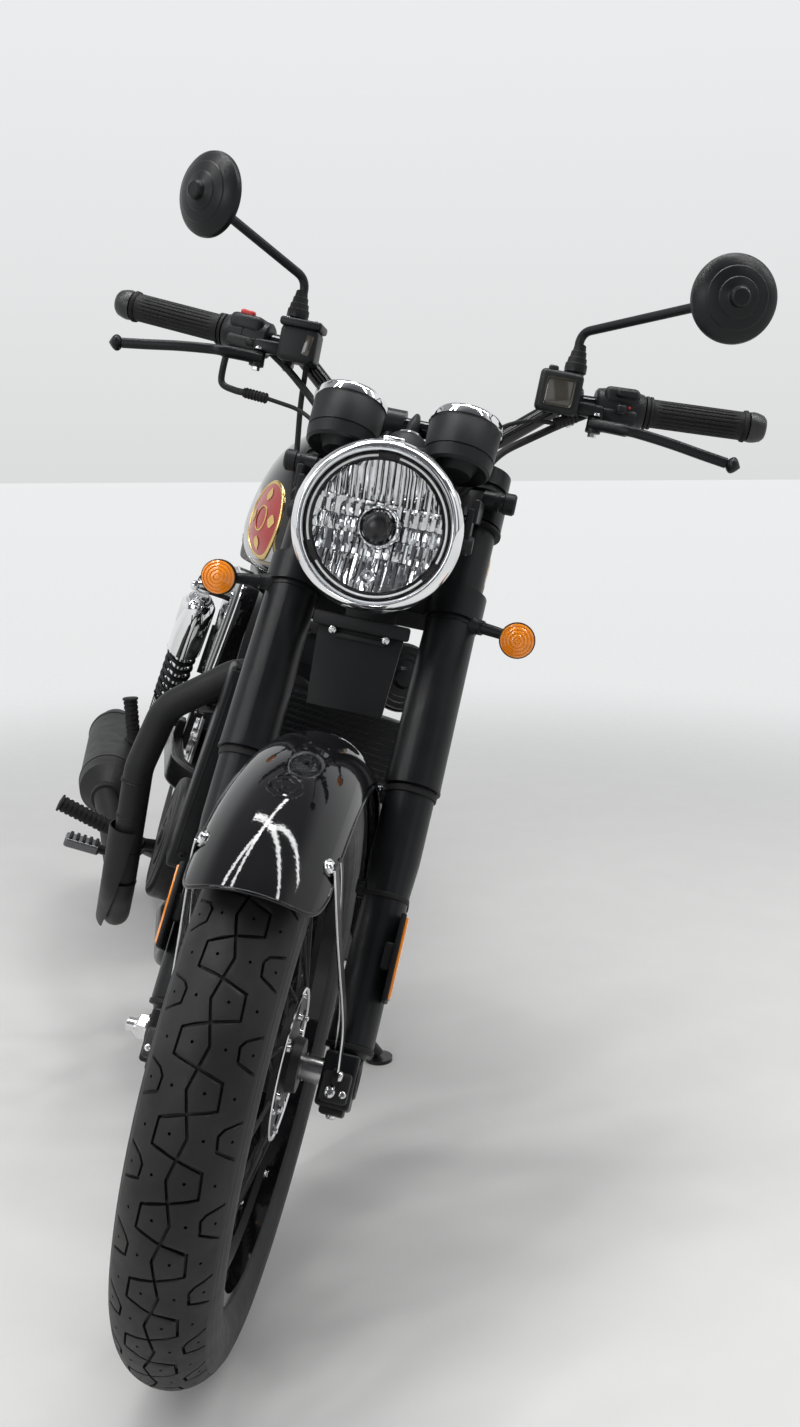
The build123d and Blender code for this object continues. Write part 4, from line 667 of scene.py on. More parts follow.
def tread_unit(long, wide, half, edge):
    """Triangles of one flat unit: points, land triangles and groove triangles."""
    patches = groove_patches(long, wide, half)
    points, edges = [], []

    def outline(corners):
        first = len(points)
        points.extend(corners)
        count = len(corners)
        edges.extend((first + i, first + (i + 1) % count) for i in range(count))

    outline([Vector((0, -edge)), Vector((long, -edge)), Vector((long, edge)), Vector((0, edge))])
    for patch in patches:
        outline(patch)
    columns, rows = round(long / 4), round(2 * edge / 4)
    for i in range(columns + 1):
        for j in range(rows + 1):
            x, y = long * i / columns, -edge + 2 * edge * j / rows
            if all(abs(x - p.x) + abs(y - p.y) > 1.2 for patch in patches for p in patch):
                points.append(Vector((x, y)))
    flat, _, faces, *_ = delaunay_2d_cdt(points, edges, [], 0, 1e-4)
    boxes = [(min(p.x for p in patch), max(p.x for p in patch), min(p.y for p in patch),
        max(p.y for p in patch), patch) for patch in patches]
    land, cut = [], []
    for face in faces:
        x, y = sum(flat[i].x for i in face) / 3, sum(flat[i].y for i in face) / 3
        if not (0 < x < long and abs(y) < edge):
            continue
        low = any(x0 < x < x1 and y0 < y < y1 and holds(patch, x, y) for x0, x1, y0, y1, patch in boxes)
        (cut if low else land).append(face)
    return flat, land, cut


def tread(centre, radius, crown, edge, wide, half):
    """Bends the unit round the tyre, as often as it fits, with the faces looking out."""
    shape = Shape()
    units = TREAD_UNITS
    long = math.tau * radius * 1000 / units
    flat, land, cut = tread_unit(long, wide, half, edge)

    def place(point, depth, unit):
        across_angle = point.y / (crown * 1000)
        around = math.tau * (unit + point.x / long) / units
        depth = depth * min(1.0, max(0.25, (edge - abs(point.y)) / 12))
        out = radius - crown + (crown - depth) * math.cos(across_angle)
        return centre + Vector(((crown - depth) * math.sin(across_angle), math.cos(around) * out,
            -math.sin(around) * out))

    sides = {}
    for face in land:
        for i in range(3):
            sides[(face[i], face[(i + 1) % 3])] = True
    walls = [(face[(i + 1) % 3], face[i]) for face in cut for i in range(3) if (face[(i + 1) % 3],
        face[i]) in sides]
    for unit in range(units):
        top, low = {}, {}

        def vert(store, i, depth):
            if i not in store:
                store[i] = shape.mesh.verts.new(place(flat[i], depth, unit))
            return store[i]

        for face in land:
            shape.mesh.faces.new([vert(top, i, 0.0) for i in face])
        for face in cut:
            shape.mesh.faces.new([vert(low, i, GROOVE_DEPTH) for i in face])
        for a, b in walls:
            shape.mesh.faces.new((vert(top, b, 0.0), vert(top, a, 0.0), vert(low, a, GROOVE_DEPTH),
                vert(low, b, GROOVE_DEPTH)))
    bmesh.ops.recalc_face_normals(shape.mesh, faces=shape.mesh.faces)
    shape.mesh.faces.ensure_lookup_table()
    sample = shape.mesh.faces[0]
    if sample.normal.dot(sample.calc_center_median() - centre) < 0:
        bmesh.ops.reverse_faces(shape.mesh, faces=shape.mesh.faces)
    return shape


def side_walls(centre, outline, ribs):
    """Both side walls, from (half width, radius) outlines that run from tread to bead, with ribs."""
    line = []
    for (x0, r0), (x1, r1) in zip(outline, outline[1:]):
        parts = 6
        line += [(x0 + (x1 - x0) * i / parts, r0 + (r1 - r0) * i / parts) for i in range(parts)]
    line.append(outline[-1])
    shaped = []
    for x, r in line:
        rise = 0.0007 if any(low < r < high for low, high in ribs) else 0.0
        shaped.append((x + rise, r))
    shape = Shape()
    for side in (1, -1):
        shape.lathe(centre, X * side, shaped, 160, capped=False)
    return shape


def worn_rubber(name):
    """Tyre rubber: black, with a thin drift of grey dust over it."""
    return finish(name, (0.010, 0.010, 0.0105), 0.55, spec=0.3, second=(0.024, 0.0235, 0.0228),
        mottle=0.22, grain=0.45, grain_size=0.0009, cloud=14)


front_rubber = worn_rubber("front_tyre_rubber")
front_tyre = tread(FRONT_AXLE, FRONT_TYRE_R, 0.052, 51.5, 1.0, 1.35)
front_tyre = front_tyre.piece("front_tyre_tread", "front_wheel", front_rubber, "tyre_rubber",
    sharp=30, turned=False)
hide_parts("front_tyre")
wall_rubber = finish("side_wall_rubber", (0.011, 0.011, 0.0115), 0.48, spec=0.3, second=(0.024,
    0.0235, 0.023), mottle=0.15, grain=0.25, grain_size=0.0008)
front_walls = side_walls(FRONT_AXLE, [(0.0385, 0.2960), (0.0432, 0.2955), (0.0452, 0.2925),
    (0.0484, 0.2840), (0.0499, 0.2740), (0.0490, 0.2640), (0.0460, 0.2540), (0.0405, 0.2460),
    (0.0340, 0.2405), (0.0330, 0.2320)], [(0.2875, 0.2890), (0.2800, 0.2808), (0.2690, 0.2698),
    (0.2585, 0.2600), (0.2492, 0.2500)])
front_walls.piece("front_tyre_walls", "front_wheel", wall_rubber, "tyre_rubber", sharp=60)

# ---------------------------------------------------------------------- front wheel
# A gloss-black rolled rim laced with 36 black spokes through plated nipples, and a black cast hub with
# a polished face on the left; six plated screws hold that face and six the drilled brake disc on the
# right.
def spoke_nipples(centre, spoke_end, half_width, radius, slant):
    """The nipples of 36 spokes, crossed in pairs, where they come through the rim."""
    shape = Shape()
    for side in (1, -1):
        for i in range(18):
            at = math.radians(360 / 18 * (i + 0.25 * side) + (34 if i % 2 else -34)
                * (1 - 75 / spoke_end))
            out = round_way(at)
            shape.lathe(centre + X * side * half_width + out * radius, -out + X * side * slant,
                [(0.0, 0.0042), (0.003, 0.0042), (0.004, 0.0031), (0.013, 0.0029), (0.0135, 0.0)], 10)
    return shape


def tyre_valve(centre, radius):
    """A rubber valve stem with its cap, from the rim towards the hub."""
    way = round_way(2.2)
    return Shape().lathe(centre + way * radius, -way, [(0, 0.006), (0.006, 0.006), (0.010, 0.0042),
        (0.030, 0.004), (0.031, 0.0045), (0.041, 0.0045), (0.042, 0.0)], 14)


nipples = spoke_nipples(FRONT_AXLE, 210.5, 0.008, 0.2085, 0.12)
nipples.piece("front_spoke_nipples", "front_wheel", bright_steel, "steel")
polished = finish("polished_alloy", (0.72, 0.72, 0.73), 0.14, metal=1.0, mottle=0.06, grain=0)
face_ring = Shape()
face_ring.lathe(FRONT_AXLE + X * 0.037, X, [(0.0, 0.0800), (0.0015, 0.0800), (0.0025, 0.0790),
    (0.0025, 0.0765), (0.0010, 0.0755), (0.0, 0.0755)], 96, capped=False)
face_ring.piece("front_hub_polished_ring", "front_wheel", polished, "steel", sharp=30)
screws = Shape()
for i in range(6):
    way = round_way(math.radians(60 * i + 20))
    for radius, size in ((0.049, 0.0042), (0.0715, 0.0032)):
        screws.lathe(FRONT_AXLE + X * 0.037 + way * radius, X, [(0, size * 1.3), (0.001, size * 1.3),
            (0.001, size), (0.004, size * 0.9), (0.005, size * 0.5), (0.005, 0)], 14)
    screws.lathe(FRONT_AXLE + X * -0.0535 + way * 0.040, -X, [(0, 0.007), (0.004, 0.007),
        (0.005, 0.006), (0.005, 0)], 14)
screws.piece("front_hub_screws", "front_wheel", bright_steel, "steel")
tyre_valve(FRONT_AXLE, 0.210).piece("front_tyre_valve", "front_wheel", rubber_black, "black_rubber")

# ---------------------------------------------------------------------- front mudguard
# Pressed steel in gloss-black enamel with its edge rolled over a wire. Two button-head screws a side
# hold it to the stays, and a plain round boss of three rings stands on its crown.
GUARD_ARC, GUARD_CENTRE_R, GUARD_HALF_DEG, GUARD_REAR = 0.0675, 0.2785, 71.5, 178


def guard_point(share, degrees, lift=0.0):
    """A point on the mudguard: share is -1 to 1 across it, degrees go round the axle from the front."""
    bend, around = math.radians(share * GUARD_HALF_DEG), math.radians(degrees)
    out = GUARD_CENTRE_R + (GUARD_ARC + lift) * math.cos(bend)
    return FRONT_AXLE + Vector(((GUARD_ARC + lift) * math.sin(bend), -out * math.cos(around),
        out * math.sin(around)))


def guard_ends(share):
    """Where the sheet begins and ends: its front corners are cut round."""
    return 45.0 + 1.5 * share ** 2 + 5.5 * abs(share) ** 9, GUARD_REAR - 2.0 * abs(share) ** 9


guard = Shape()
shares = [-1 + 2 * i / 40 for i in range(41)]
for lift, order in ((0.0, 1), (-0.0018, -1)):
    rings = []
    for step in range(81):
        ring_points = []
        for share in shares[::order]:
            first, last = guard_ends(share)
            ring_points.append(guard_point(share, first + (last - first) * step / 80, lift))
        rings.append(ring_points)
    guard.skin(rings, capped=False, round_section=False)
border = [guard_point(share, guard_ends(share)[0], -0.0009) for share in shares]
border += [guard_point(1, guard_ends(1)[0] + (guard_ends(1)[1] - guard_ends(1)[0]) * i / 80, -0.0009)
    for i in range(1, 80)]
border += [guard_point(share, guard_ends(share)[1], -0.0009) for share in reversed(shares)]
border += [guard_point(-1, guard_ends(1)[1] + (guard_ends(1)[0] - guard_ends(1)[1]) * i / 80, -0.0009)
    for i in range(1, 81)]
guard.tube(border, 0.0021, 10)
guard = guard.piece("front_mudguard_sheet", "steering", gloss_black, "gloss_black", sharp=50)
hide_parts("front_mudguard")

boss = Shape()
rings = []
for radius, lift in ((0.0001, 0.0022), (0.0045, 0.0022), (0.0052, 0.0009), (0.0080, 0.0009),
        (0.0086, 0.0019), (0.0112, 0.0019), (0.0118, 0.0008), (0.0150, 0.0008), (0.0156, 0.0017),
        (0.0180, 0.0016), (0.0190, -0.0004)):
    circle = []
    for i in range(64):
        a = math.tau * i / 64
        circle.append(guard_point(math.degrees(radius * math.cos(a) / GUARD_ARC) / GUARD_HALF_DEG,
            66.5 + math.degrees(radius * math.sin(a) / 0.346), lift))
    rings.append(circle)
boss.skin(rings, capped=False)
boss.piece("mudguard_boss", "steering", gloss_black, "gloss_black", sharp=30)


def button_screw(shape, foot, way, size):
    """A button head with a socket in it."""
    shape.lathe(foot, way, [(0, size), (0.25 * size, size), (0.5 * size, 0.86 * size), (0.68 * size,
        0.55 * size), (0.70 * size, 0.45 * size), (0.35 * size, 0.42 * size), (0.35 * size, 0)], 24)


guard_screws, guard_washers = Shape(), Shape()
for side in (1, -1):
    for degrees, share in ((56.5, 0.83), (118, 0.86), (136, 0.86)):
        foot = guard_point(side * share, degrees)
        way = (foot - guard_point(side * share, degrees, -0.01)).normalized()
        guard_washers.lathe(foot - way * 0.0002, way, [(0, 0.0082), (0.0016, 0.0080), (0.0016, 0.004)],
            28)
        button_screw(guard_screws, foot + way * 0.0013, way, 0.0058)
guard_screws.piece("mudguard_screws", "steering", chrome, "bright_chrome", sharp=30)
guard_washers.piece("mudguard_washers", "steering", bright_steel, "steel", sharp=30)

# ---------------------------------------------------------------------- mudguard stays
# On each side a black steel strip with a ground front edge runs from the mudguard's lower screw to the
# axle clamp, kinked where it leaves the sheet, and a thinner one behind it goes to the back of the same
# clamp.
stay_black, stay_edges = Shape(), Shape()
for side in (1, -1):
    for route, wide, thick in (([(63, -172, 583), (66.5, -160, 560), (74, -118, 500), (88, -48, 400),
            (92, -36, 352), (92, -33, 326)], 13, 3.0), ([(64, -150, 583), (67, -140, 563),
            (72, -100, 500), (80, -30, 405), (82, -14, 372), (83, -6, 344)], 7, 2.6)):
        line = smooth_route([(side * x / 1000, y / 1000, z / 1000) for x, y, z in route], 6)
        stay_black.sweep(line, lambda t, w=wide, h=thick: [(-w / 2000, -h / 2000),
            (w / 2000, -h / 2000), (w / 2000, h / 2000), (-w / 2000, h / 2000)], up=X * side)
        edge_line = [point + Vector((side * 0.0004, -wide / 2000 * 0.86, -wide / 2000 * 0.5))
            for point in line]
        stay_edges.tube(edge_line, thick / 2000 * 0.8, 8)
    stay_black.lathe((side * 0.0905, -0.033, 0.332), X * side, [(-0.002, 0.011), (0.004, 0.011),
        (0.004, 0)], 24)
    button_screw(stay_edges, Vector((side * 0.0945, -0.033, 0.332)), X * side, 0.0062)
stay_black = stay_black.piece("mudguard_stay_strips", "steering", satin_black, "satin_black", sharp=30)
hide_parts("mudguard_stays")
stay_edges.piece("mudguard_stay_edges", "steering", bright_steel, "steel", sharp=40)

# ---------------------------------------------------------------------- fork
# Black sliders under pressed covers: a rolled lip and a seal at each cover's foot, amber reflectors in
# black frames on the outer sides, with a faint painted glow in their amber, and axle clamps with a pinch
# screw each. The axle is held by a plated hexagon nut on the right.
RAKED = Matrix.Rotation(-RAKE, 3, "X")
lips, seals, clamps, pinch = Shape(), Shape(), Shape(), Shape()
reflector_frames, reflectors = Shape(), Shape()
for side in (1, -1):
    for at, radius in ((0.3182, 0.0327), (0.5195, 0.0312)):
        lips.lathe(fork_point(side, at), UP_FORK, [(-0.0022, radius - 0.002), (-0.0016, radius),
            (0.0016, radius), (0.0022, radius - 0.002)], 48)
    seals.lathe(fork_point(side, 0.3125), UP_FORK, [(-0.006, 0.0285), (-0.005, 0.0298), (0.001, 0.0302),
        (0.002, 0.0285)], 48)
    for at in (0.026, 0.188):
        seals.lathe(fork_point(side, at), UP_FORK, [(0, 0.0252), (0.001, 0.0262), (0.005, 0.0262),
            (0.006, 0.0252)], 48)
    low = Vector((side * 0.093, 0, 0.319))
    clamps.box(low + RAKED @ Vector((0, -0.030, -0.014)), (0.030, 0.014, 0.032), 0.004, turn=RAKED)
    clamps.box(low + RAKED @ Vector((0, 0.004, -0.036)), (0.026, 0.034, 0.010), 0.003, turn=RAKED)
    clamps.lathe(low + X * side * 0.0175, X * side, [(-0.002, 0.021), (0.0015, 0.021), (0.003, 0.0195),
        (0.003, 0.0125), (-0.003, 0.0115), (-0.003, 0)], 40)
    button_screw(pinch, low + RAKED @ Vector((-side * 0.004, -0.0368, -0.020)), RAKED @ -Y, 0.0062)
    button_screw(pinch, low + RAKED @ Vector((side * 0.009, -0.0368, -0.020)), RAKED @ -Y, 0.0040)
    button_screw(pinch, low + RAKED @ Vector((0, 0.004, -0.041)), RAKED @ -Z, 0.0055)
    middle = Vector((side * 0.1215, 0.034, 0.444))
    reflector_frames.box(middle, (0.0060, 0.030, 0.094), 0.0022, turn=RAKED)
    reflector_frames.box(middle - X * side * 0.007, (0.012, 0.014, 0.030), 0.003, turn=RAKED)
    reflectors.box(middle + X * side * 0.0036, (0.0042, 0.024, 0.086), 0.0016, turn=RAKED)
    stub = fork_point(side, 0.198)
    lips.lathe(stub - X * side * 0.022, -X * side, [(0, 0.0085), (0.010, 0.0085), (0.012, 0.0075),
        (0.012, 0)], 24)
lips.piece("fork_cover_lips", "steering", satin_black, "satin_black")
seals.piece("fork_seals", "steering", rubber_black, "black_rubber")
clamps.piece("axle_clamp_bosses", "steering", cast_black, "satin_black", sharp=30)
pinch.piece("axle_pinch_screws", "steering", bright_steel, "steel", sharp=30)
reflector_frames.piece("reflector_frames", "steering", moulded_black, "black_plastic")
amber = finish("amber_lens_painted_glow", (0.86, 0.27, 0.012), 0.16, coat=0.8, second=(0.60, 0.13, 0.004),
    mottle=0.1, cloud=60, grain=0)
# The amber lenses and fork reflectors get a faint orange emission: a painted glow, since none of them is a
# lit lamp.
amber_painted_glow_sockets = amber.node_tree.nodes["Principled BSDF"].inputs
amber_painted_glow_sockets["Emission Color"].default_value = (0.95, 0.30, 0.01, 1)
amber_painted_glow_sockets["Emission Strength"].default_value = 0.10
reflectors.piece("side_reflectors", "steering", amber, "amber_lamp")

nut = Shape()
hexagon = [(0.0125 * math.cos(math.tau * (i + 0.5) / 6), 0.0125 * math.sin(math.tau * (i + 0.5) / 6))
    for i in range(6)]
nut_at = Vector((-0.1135, 0, FRONT_TYRE_R))
nut.lathe(nut_at, -X, [(0, 0.0165), (0.0025, 0.0165), (0.0025, 0.008)], 36)
nut.plate(hexagon, 0.011, 0.0008, origin=nut_at - X * 0.0082, right=Y, up=Z)
nut.lathe(nut_at - X * 0.0145, -X, [(-0.004, 0.0112), (0.0006, 0.0102), (0.0006, 0.006)], 30)
nut.lathe(nut_at - X * 0.0140, -X, [(0, 0.0074), (0.010, 0.0074), (0.0115, 0.0062), (0.0115, 0.0)], 24)
nut.lathe((0.0705, 0, FRONT_TYRE_R), -X, [(0, 0.0145), (0.012, 0.0145), (0.0125, 0.0132),
    (0.0145, 0.0132), (0.015, 0.0145), (0.019, 0.0145)], 36)
nut.piece("axle_nut_and_spacer", "steering", bright_steel, "steel", sharp=30)

# ---------------------------------------------------------------------- front indicators
# Round amber plastic lenses with pressed rings, each in a thin black shell. A rubber-mounted stem joins
# each shell to the lower yoke.
shells, lenses, stems = Shape(), Shape(), Shape()


def indicator(at, way, body_depth=0.022):
    """One lamp: its shell and its ringed lens."""
    shells.lathe(at, -way, [(-0.0035, 0.0192), (-0.0028, 0.0206), (0.004, 0.0206), (0.010, 0.0180),
        (0.018, 0.0120), (body_depth, 0.0085), (body_depth + 0.001, 0.0)], 40)
    lenses.lathe(at, way, [(0.0015, 0.0196), (0.0048, 0.0192), (0.0062, 0.0172), (0.0052, 0.0164),
        (0.0068, 0.0150), (0.0078, 0.0132), (0.0068, 0.0124), (0.0084, 0.0108), (0.0092, 0.0090),
        (0.0082, 0.0082), (0.0096, 0.0066), (0.0100, 0.0046), (0.0090, 0.0040), (0.0103, 0.0022),
        (0.0104, 0.0)], 48)


for side in (1, -1):
    at = Vector((side * 0.175, 0.190, 0.787))
    indicator(at, -Y)
    stems.tube([Vector((side * 0.116, 0.223, 0.792)), Vector((side * 0.150, 0.208, 0.790)),
        at + Y * 0.016], lambda t: 0.0075 - 0.0018 * t, 16)
    stems.lathe((side * 0.122, 0.2205, 0.7915), (side, -0.45, -0.06), [(-0.006, 0.0115),
        (0.002, 0.0115), (0.005, 0.0092), (0.012, 0.0088), (0.013, 0.0070)], 24)
front_lenses = lenses.piece("front_indicator_lenses", "steering", amber, "amber_lamp", sharp=25)
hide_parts("front_indicators")
shells.piece("front_indicator_shells", "steering", moulded_black, "black_plastic")
stems.piece("front_indicator_stems", "steering", moulded_black, "black_plastic")

# ---------------------------------------------------------------------- panel under the lamp
# A flat black plastic moulding between the fork covers hides the wiring. Two plated screws hold it to
# the lower yoke.
panel = Shape()
panel.plate([(-0.044, -0.047), (0.044, -0.047), (0.048, 0.020), (0.050, 0.048), (-0.050, 0.048),
    (-0.048, 0.020)], 0.006, 0.002, origin=(0, 0.176, 0.716), right=X, up=(0, 0.18, 1))
panel.box((0, 0.175, 0.768), (0.112, 0.008, 0.016), 0.003)
panel.box((0, 0.212, 0.752), (0.060, 0.072, 0.006), 0.001)
panel.box((0, 0.244, 0.768), (0.060, 0.006, 0.038), 0.001)
panel = panel.piece("under_lamp_plate", "steering", moulded_black, "black_plastic")
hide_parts("under_lamp_panel")
plate_screws = Shape()
for side in (1, -1):
    button_screw(plate_screws, Vector((side * 0.031, 0.1715, 0.757)), -Y, 0.0048)
plate_screws.piece("under_lamp_screws", "steering", bright_steel, "steel", sharp=30)

# ---------------------------------------------------------------------- handlebar controls
# Both ends of the gloss-black bar carry a fluted rubber grip with a bullet-shaped end, a two-part
# switch housing and a lever in a clamp. The right clamp holds the brake's fluid reservoir; the left one
# a covered switch box of like size.
BAR_START = {side: Vector((side * 0.170, 0.351, 1.074)) for side in (1, -1)}
BAR_END = {side: Vector((side * 0.397, 0.378, 1.090)) for side in (1, -1)}
grips, bar_ends, housings, kill, perches, levers, pivots = (Shape(), Shape(), Shape(), Shape(),
    Shape(), Shape(), Shape())
reservoirs, windows, boots, sleeves = Shape(), Shape(), Shape(), Shape()


def fluted(shape, foot, along, length, radius, flutes, depth):
    """A grip: a round sleeve with rounded lengthwise flutes that stop short of both ends."""
    side = along.cross(Z).normalized()
    lift = side.cross(along)
    stations = [(0.0, 0.0), (0.004, 0.0), (0.007, 0.4), (0.011, 1.0), (length * 0.5, 1.0),
        (length - 0.014, 1.0), (length - 0.009, 0.4), (length - 0.006, 0.0), (length, 0.0)]
    rings = []
    for at, share in stations:
        ring_points = []
        for i in range(flutes * 8):
            a = math.tau * i / (flutes * 8)
            wave = max(0.0, math.cos(a * flutes)) ** 1.5
            size = radius - depth * wave * share
            ring_points.append(foot + along * at + (side * math.cos(a) + lift * math.sin(a)) * size)
        rings.append(ring_points)
    shape.skin(rings)


for side in (1, -1):
    start, end = BAR_START[side], BAR_END[side]
    along = (end - start).normalized()

    def on_bar(x):
        """The point of the bar at that distance from the middle."""
        return start + along * ((x - 0.170) / abs(along.x))

    grip_foot = on_bar(0.2655)
    grip_long = (end - grip_foot).length
    fluted(grips, grip_foot + along * 0.009, along, grip_long - 0.020, 0.0172, 22, 0.0012)
    grips.lathe(grip_foot, along, [(0, 0.0150), (0.0005, 0.0196), (0.0035, 0.0200), (0.0042, 0.0178),
        (0.0052, 0.0178), (0.0058, 0.0196), (0.0085, 0.0196), (0.0095, 0.0172)], 40)
    grips.lathe(grip_foot + along * (grip_long - 0.012), along, [(0, 0.0172), (0.0015, 0.0190),
        (0.005, 0.0194), (0.006, 0.0180)], 40)
    bar_ends.lathe(end, along, [(-0.006, 0.0140), (-0.0045, 0.0140), (-0.004, 0.0178), (0.001, 0.0186),
        (0.006, 0.0180), (0.013, 0.0160), (0.0165, 0.0128), (0.0175, 0.0090), (0.0178, 0.0)], 40)
    housing_foot, housing_end = on_bar(0.204), on_bar(0.2645)
    long = (housing_end - housing_foot).length
    middle = (housing_foot + housing_end) / 2
    frame_turn = Matrix((along, Z.cross(along).normalized(),
        along.cross(Z.cross(along)).normalized())).transposed()
    housings.lathe(housing_foot, along, [(0, 0.0120), (0.0005, 0.0185), (0.003, 0.0215),
        (0.012, 0.0228), (long * 0.49, 0.0230), (long * 0.5, 0.0222), (long * 0.52, 0.0222),
        (long * 0.53, 0.0230), (long - 0.010, 0.0222), (long - 0.002, 0.0205), (long, 0.0190),
        (long, 0.0120)], 44)
    housings.box(middle + Vector((0, -0.008, 0.013)), (0.044, 0.030, 0.022), 0.007, 3, turn=frame_turn)
    housings.box(middle + Vector((0, -0.014, -0.012)), (0.048, 0.022, 0.020), 0.006, 3, turn=frame_turn)
    if side < 0:
        kill.box(middle + Vector((-0.002, -0.014, 0.0255)), (0.018, 0.010, 0.007), 0.0025, 3,
            turn=frame_turn)
        housings.box(middle + Vector((0.010, -0.024, -0.010)), (0.012, 0.010, 0.010), 0.003,
            turn=frame_turn)
        housings.tube(smooth_route([(-0.2495, 0.330, 1.060), (-0.2495, 0.322, 1.030),
            (-0.246, 0.318, 1.012), (-0.229, 0.3155, 1.0068), (-0.214, 0.3135, 1.006)]), 0.0042, 14)
        sleeves.tube([(-0.216, 0.3138, 1.0062), (-0.186, 0.3102, 1.0041)], 0.0058, 16)
        for k in range(7):
            at = Vector((-0.214 + 0.0042 * k, 0.3136 - 0.0005 * k, 1.0061 - 0.0003 * k))
            sleeves.lathe(at, (1, -0.12, -0.07), [(0, 0.0058), (0.0006, 0.0066), (0.0018, 0.0066),
                (0.0024, 0.0058)], 20)
    else:
        kill.box(middle + Vector((0.012, -0.030, 0.000)), (0.003, 0.003, 0.003), 0.001, turn=frame_turn)
        housings.box(middle + Vector((0.006, -0.026, 0.016)), (0.026, 0.014, 0.009), 0.003, 3,
            turn=frame_turn)
        housings.box(middle + Vector((0.002, -0.034, -0.004)), (0.012, 0.016, 0.010), 0.003, 3,
            turn=frame_turn)
        sleeves.tube([(0.188, 0.321, 1.056), (0.162, 0.316, 1.0425)], 0.0060, 16)
        for k in range(6):
            at = Vector((0.186 - 0.0042 * k, 0.3206 - 0.0008 * k, 1.0550 - 0.0022 * k))
            sleeves.lathe(at, (-0.87, -0.17, -0.46), [(0, 0.0060), (0.0006, 0.0069), (0.0020, 0.0069),
                (0.0026, 0.0060)], 20)
    clamp = on_bar(0.178)
    perches.lathe(clamp - along * 0.0105, along, [(0, 0.0112), (0, 0.0175), (0.0015, 0.0190),
        (0.0195, 0.0190), (0.021, 0.0175), (0.021, 0.0112)], 40)
    perches.box(clamp + Vector((0, -0.006, -0.021)), (0.016, 0.024, 0.012), 0.003)
    perches.box(clamp + Vector((0, -0.006, 0.021)), (0.016, 0.024, 0.008), 0.003)
    perches.box((side * 0.197, 0.326, 1.066), (0.040, 0.020, 0.016), 0.0045, 3)
    perches.lathe((side * 0.209, 0.320, 1.0395), Z, [(0, 0.0060), (0.001, 0.0092), (0.005, 0.0095)], 30)
    perches.lathe((side * 0.174, 0.336, 1.070), (side * -0.02, 0, 1), [(0, 0.0112), (0.036, 0.0112),
        (0.038, 0.0135), (0.043, 0.0135), (0.044, 0.011)], 30)
    for z in (-0.0285, 0.0262):
        button_screw(pivots, clamp + Vector((0, -0.010, z)), Z * (1 if z > 0 else -1), 0.0040)
    button_screw(pivots, Vector((side * 0.209, 0.320, 1.0610)), Z, 0.0058)
    pivots.lathe((side * 0.209, 0.320, 1.0395), -Z, [(0, 0.0052), (0.004, 0.0052), (0.0045, 0.0045),
        (0.0045, 0)], 6)
    blade = smooth_route([(side * 0.207, 0.321, 1.0500), (side * 0.222, 0.312, 1.0500),
        (side * 0.246, 0.298, 1.0485), (side * 0.262, 0.296, 1.0478), (side * 0.300, 0.2925, 1.0435),
        (side * 0.340, 0.2905, 1.0375), (side * 0.368, 0.2885, 1.0335)], 7)

    def blade_section(t):
        wide = 0.0115 - 0.0030 * min(1, t * 2.2) if t < 0.42 else 0.0075 - 0.0022 * (t - 0.42)
        thick = 0.0074 if t < 0.34 else 0.0062
        return [(wide * math.copysign(abs(math.cos(a)) ** 0.7, math.cos(a)) * 0.92,
            thick * math.copysign(abs(math.sin(a)) ** 0.8, math.sin(a))) for a in (math.tau * i / 16
            for i in range(16))]

    levers.sweep(blade, blade_section)
    levers.lathe((side * 0.375, 0.288, 1.0325), (side, -0.06, -0.14), [(-0.0098 + 0.0196 * i / 14,
        max(1e-5, 0.0098 * math.sin(math.pi * i / 14))) for i in range(15)], 24)
    levers.lathe((side * 0.209, 0.320, 1.0440), Z, [(0, 0.0), (0, 0.0092), (0.0135, 0.0092),
        (0.0135, 0.0)], 28)
    box_at = Vector((side * 0.160, 0.322, 1.078))
    if side < 0:
        reservoirs.box(box_at + Vector((0, 0, -0.004)), (0.047, 0.042, 0.042), 0.0065, 4)
        reservoirs.box(box_at + Vector((0, 0, 0.0205)), (0.052, 0.045, 0.010), 0.0035, 3)
        windows.box(box_at + Vector((0.0132, -0.0212, -0.004)), (0.009, 0.0012, 0.024), 0.0005,
            turn=Matrix.Rotation(0.16, 3, "Y"))
        for dx in (-0.018, 0.018):
            button_screw(pivots, box_at + Vector((dx, -0.015, 0.0252)), Z, 0.0026)
    else:
        reservoirs.box(box_at + Vector((0, 0.003, 0.0)), (0.046, 0.036, 0.044), 0.010, 4)
        reservoirs.box(box_at + Vector((0, -0.016, 0.0)), (0.052, 0.013, 0.050), 0.0062, 4)
        reservoirs.box(box_at + Vector((-0.012, -0.014, 0.026)), (0.012, 0.010, 0.008), 0.003, 3)
        windows.box(box_at + Vector((0, -0.0225, 0.0)), (0.036, 0.0014, 0.034), 0.004, 3)
grips = grips.piece("grip_sleeves", "steering", rubber_black, "black_rubber", sharp=45)
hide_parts("grips")
bar_end_black = finish("bar_end_black", (0.014, 0.014, 0.015), 0.4, grain=0.1)
bar_ends.piece("bar_end_weights", "steering", bar_end_black, "satin_black", sharp=50)
switch_black = finish("switch_plastic", (0.0085, 0.009, 0.010), 0.42, spec=0.25, grain=0.4,
    grain_size=0.0006)
housings = housings.piece("switch_shells", "steering", switch_black, "black_plastic", sharp=30)
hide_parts("switch_housings")
signal_red = finish("switch_red", (0.42, 0.012, 0.010), 0.4, grain=0)
kill.piece("stop_switch", "steering", signal_red, "black_plastic")
perches = perches.piece("lever_clamps", "steering", satin_black, "satin_black", sharp=30)
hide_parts("control_perches")
levers = levers.piece("lever_blades", "steering", satin_black, "satin_black", sharp=50)
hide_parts("hand_levers")
pivots.piece("control_screws", "steering", bright_steel, "steel", sharp=30)
reservoirs.piece("reservoir_and_switch_box", "steering", switch_black, "black_plastic", sharp=40)
